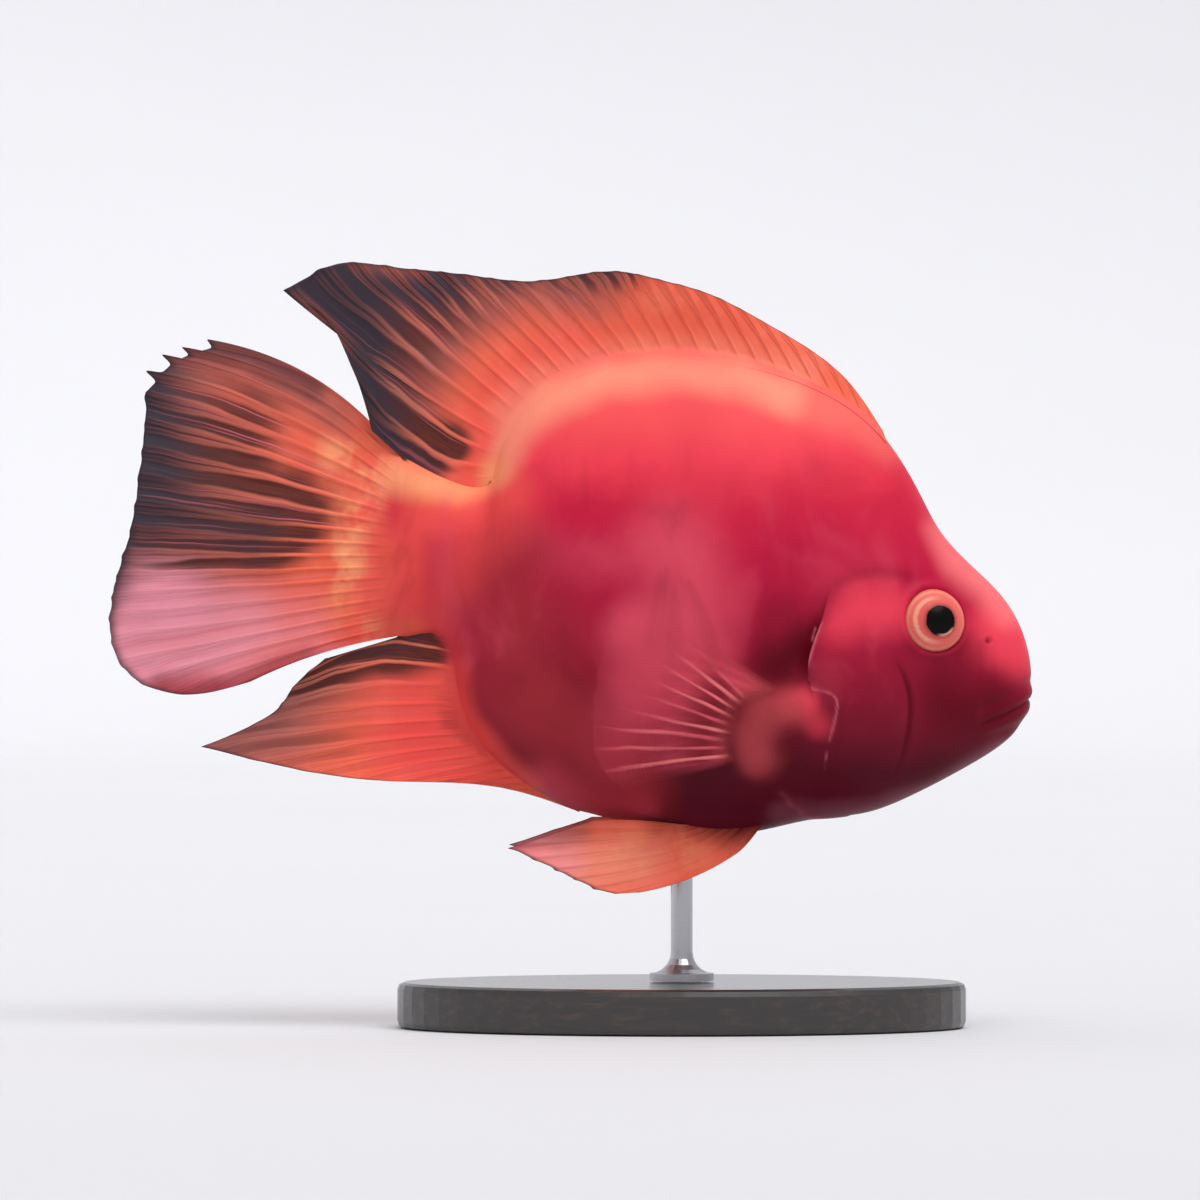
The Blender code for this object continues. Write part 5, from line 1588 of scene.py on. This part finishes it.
def make_backdrop(finish):
    """A round floor that curves up into a wall: a profile of radius and height turned about Z."""
    bend, wall = np.linspace(0, math.pi / 2, 13), FLOOR_EDGE + WALL_BEND
    radius = np.concatenate([[0.02, 1.0, 3.0], FLOOR_EDGE + WALL_BEND * np.sin(bend), [wall]])
    height = np.concatenate([[0.0, 0.0, 0.0], WALL_BEND - WALL_BEND * np.cos(bend), [WALL_TOP]])
    turn = np.arange(STUDIO_SIDES + 1) * 2 * math.pi / STUDIO_SIDES
    loops = np.stack(np.broadcast_arrays(
        radius[:, None] * np.cos(turn), radius[:, None] * np.sin(turn), height[:, None]), axis=-1)
    uv = loops[..., :2] / 10
    closed_mesh("studio_bowl", loops[:, :-1], ("pole", "open"), uv, {}, finish)


def make_lights(settings):
    """A wide soft light from above, a weaker one from behind, and an even surrounding light."""
    for name, towards, spread, strength in (
        ("key", (0.3, -0.45, 1.0), 50, settings.key),
        ("far_side", (-0.3, 0.9, 0.6), 80, settings.fill),
    ):
        light = bpy.data.lights.new(name, "SUN")
        light.angle = math.radians(spread)
        light.energy = strength
        made = bpy.data.objects.new(name, light)
        made.rotation_euler = Vector(towards).to_track_quat("Z", "Y").to_euler()
        bpy.context.scene.collection.objects.link(made)
    world = bpy.data.worlds.new("studio air")
    world.use_nodes = True
    world.node_tree.nodes["Background"].inputs["Color"].default_value = (1, 1, 1, 1)
    world.node_tree.nodes["Background"].inputs["Strength"].default_value = settings.ambient
    bpy.context.scene.world = world


def make_camera(settings):
    """A long lens level with the fish, square to its flank."""
    camera = bpy.data.cameras.new("camera")
    camera.lens, camera.sensor_width = settings.lens, settings.sensor
    camera.clip_end = 100
    made = bpy.data.objects.new("camera", camera)
    distance = settings.view_width * settings.lens / settings.sensor
    made.location = (settings.view_x + set_back(), -distance, settings.view_z)
    made.rotation_euler = (math.radians(90), 0, 0)
    bpy.context.scene.collection.objects.link(made)
    bpy.context.scene.camera = made
    bpy.context.scene.view_settings.view_transform = "Standard"


class CICHLID_PT_panel(bpy.types.Panel):
    """Lists the steps that build the fish"""

    bl_idname = "CICHLID_PT_panel"
    bl_label = "Cichlid"
    bl_space_type = "VIEW_3D"
    bl_region_type = "UI"
    bl_category = "Cichlid"

    def draw(self, context):
        """Puts a button in the panel for every step."""
        for step in STEPS:
            self.layout.operator(step.bl_idname)


GROUPS = {
    "cichlid_pigments": CichlidPigments,
    "cichlid_body": CichlidBody,
    "cichlid_eye": CichlidEye,
    "cichlid_fins": CichlidFins,
    "cichlid_stand": CichlidStand,
    "cichlid_stage": CichlidStage,
}
STEPS = (
    CICHLID_OT_skin,
    CICHLID_OT_eyes,
    CICHLID_OT_middle_fins,
    CICHLID_OT_tail_fin,
    CICHLID_OT_paired_fins,
    CICHLID_OT_stand,
    CICHLID_OT_stage,
)


def register():
    """Makes the classes known to Blender and hangs the settings on the scene."""
    for group in (*GROUPS.values(), *STEPS, CICHLID_PT_panel):
        bpy.utils.register_class(group)
    for name, group in GROUPS.items():
        setattr(bpy.types.Scene, name, PointerProperty(type=group))


def unregister():
    """Takes back what register does."""
    for name in GROUPS:
        delattr(bpy.types.Scene, name)
    for group in (CICHLID_PT_panel, *reversed(STEPS), *reversed(GROUPS.values())):
        bpy.utils.unregister_class(group)


def main():
    """Registers the classes and runs every step."""
    register()
    for step in STEPS:
        group, action = step.bl_idname.split(".")
        getattr(getattr(bpy.ops, group), action)()
    bpy.context.view_layer.update()


if __name__ == "__main__":
    main()
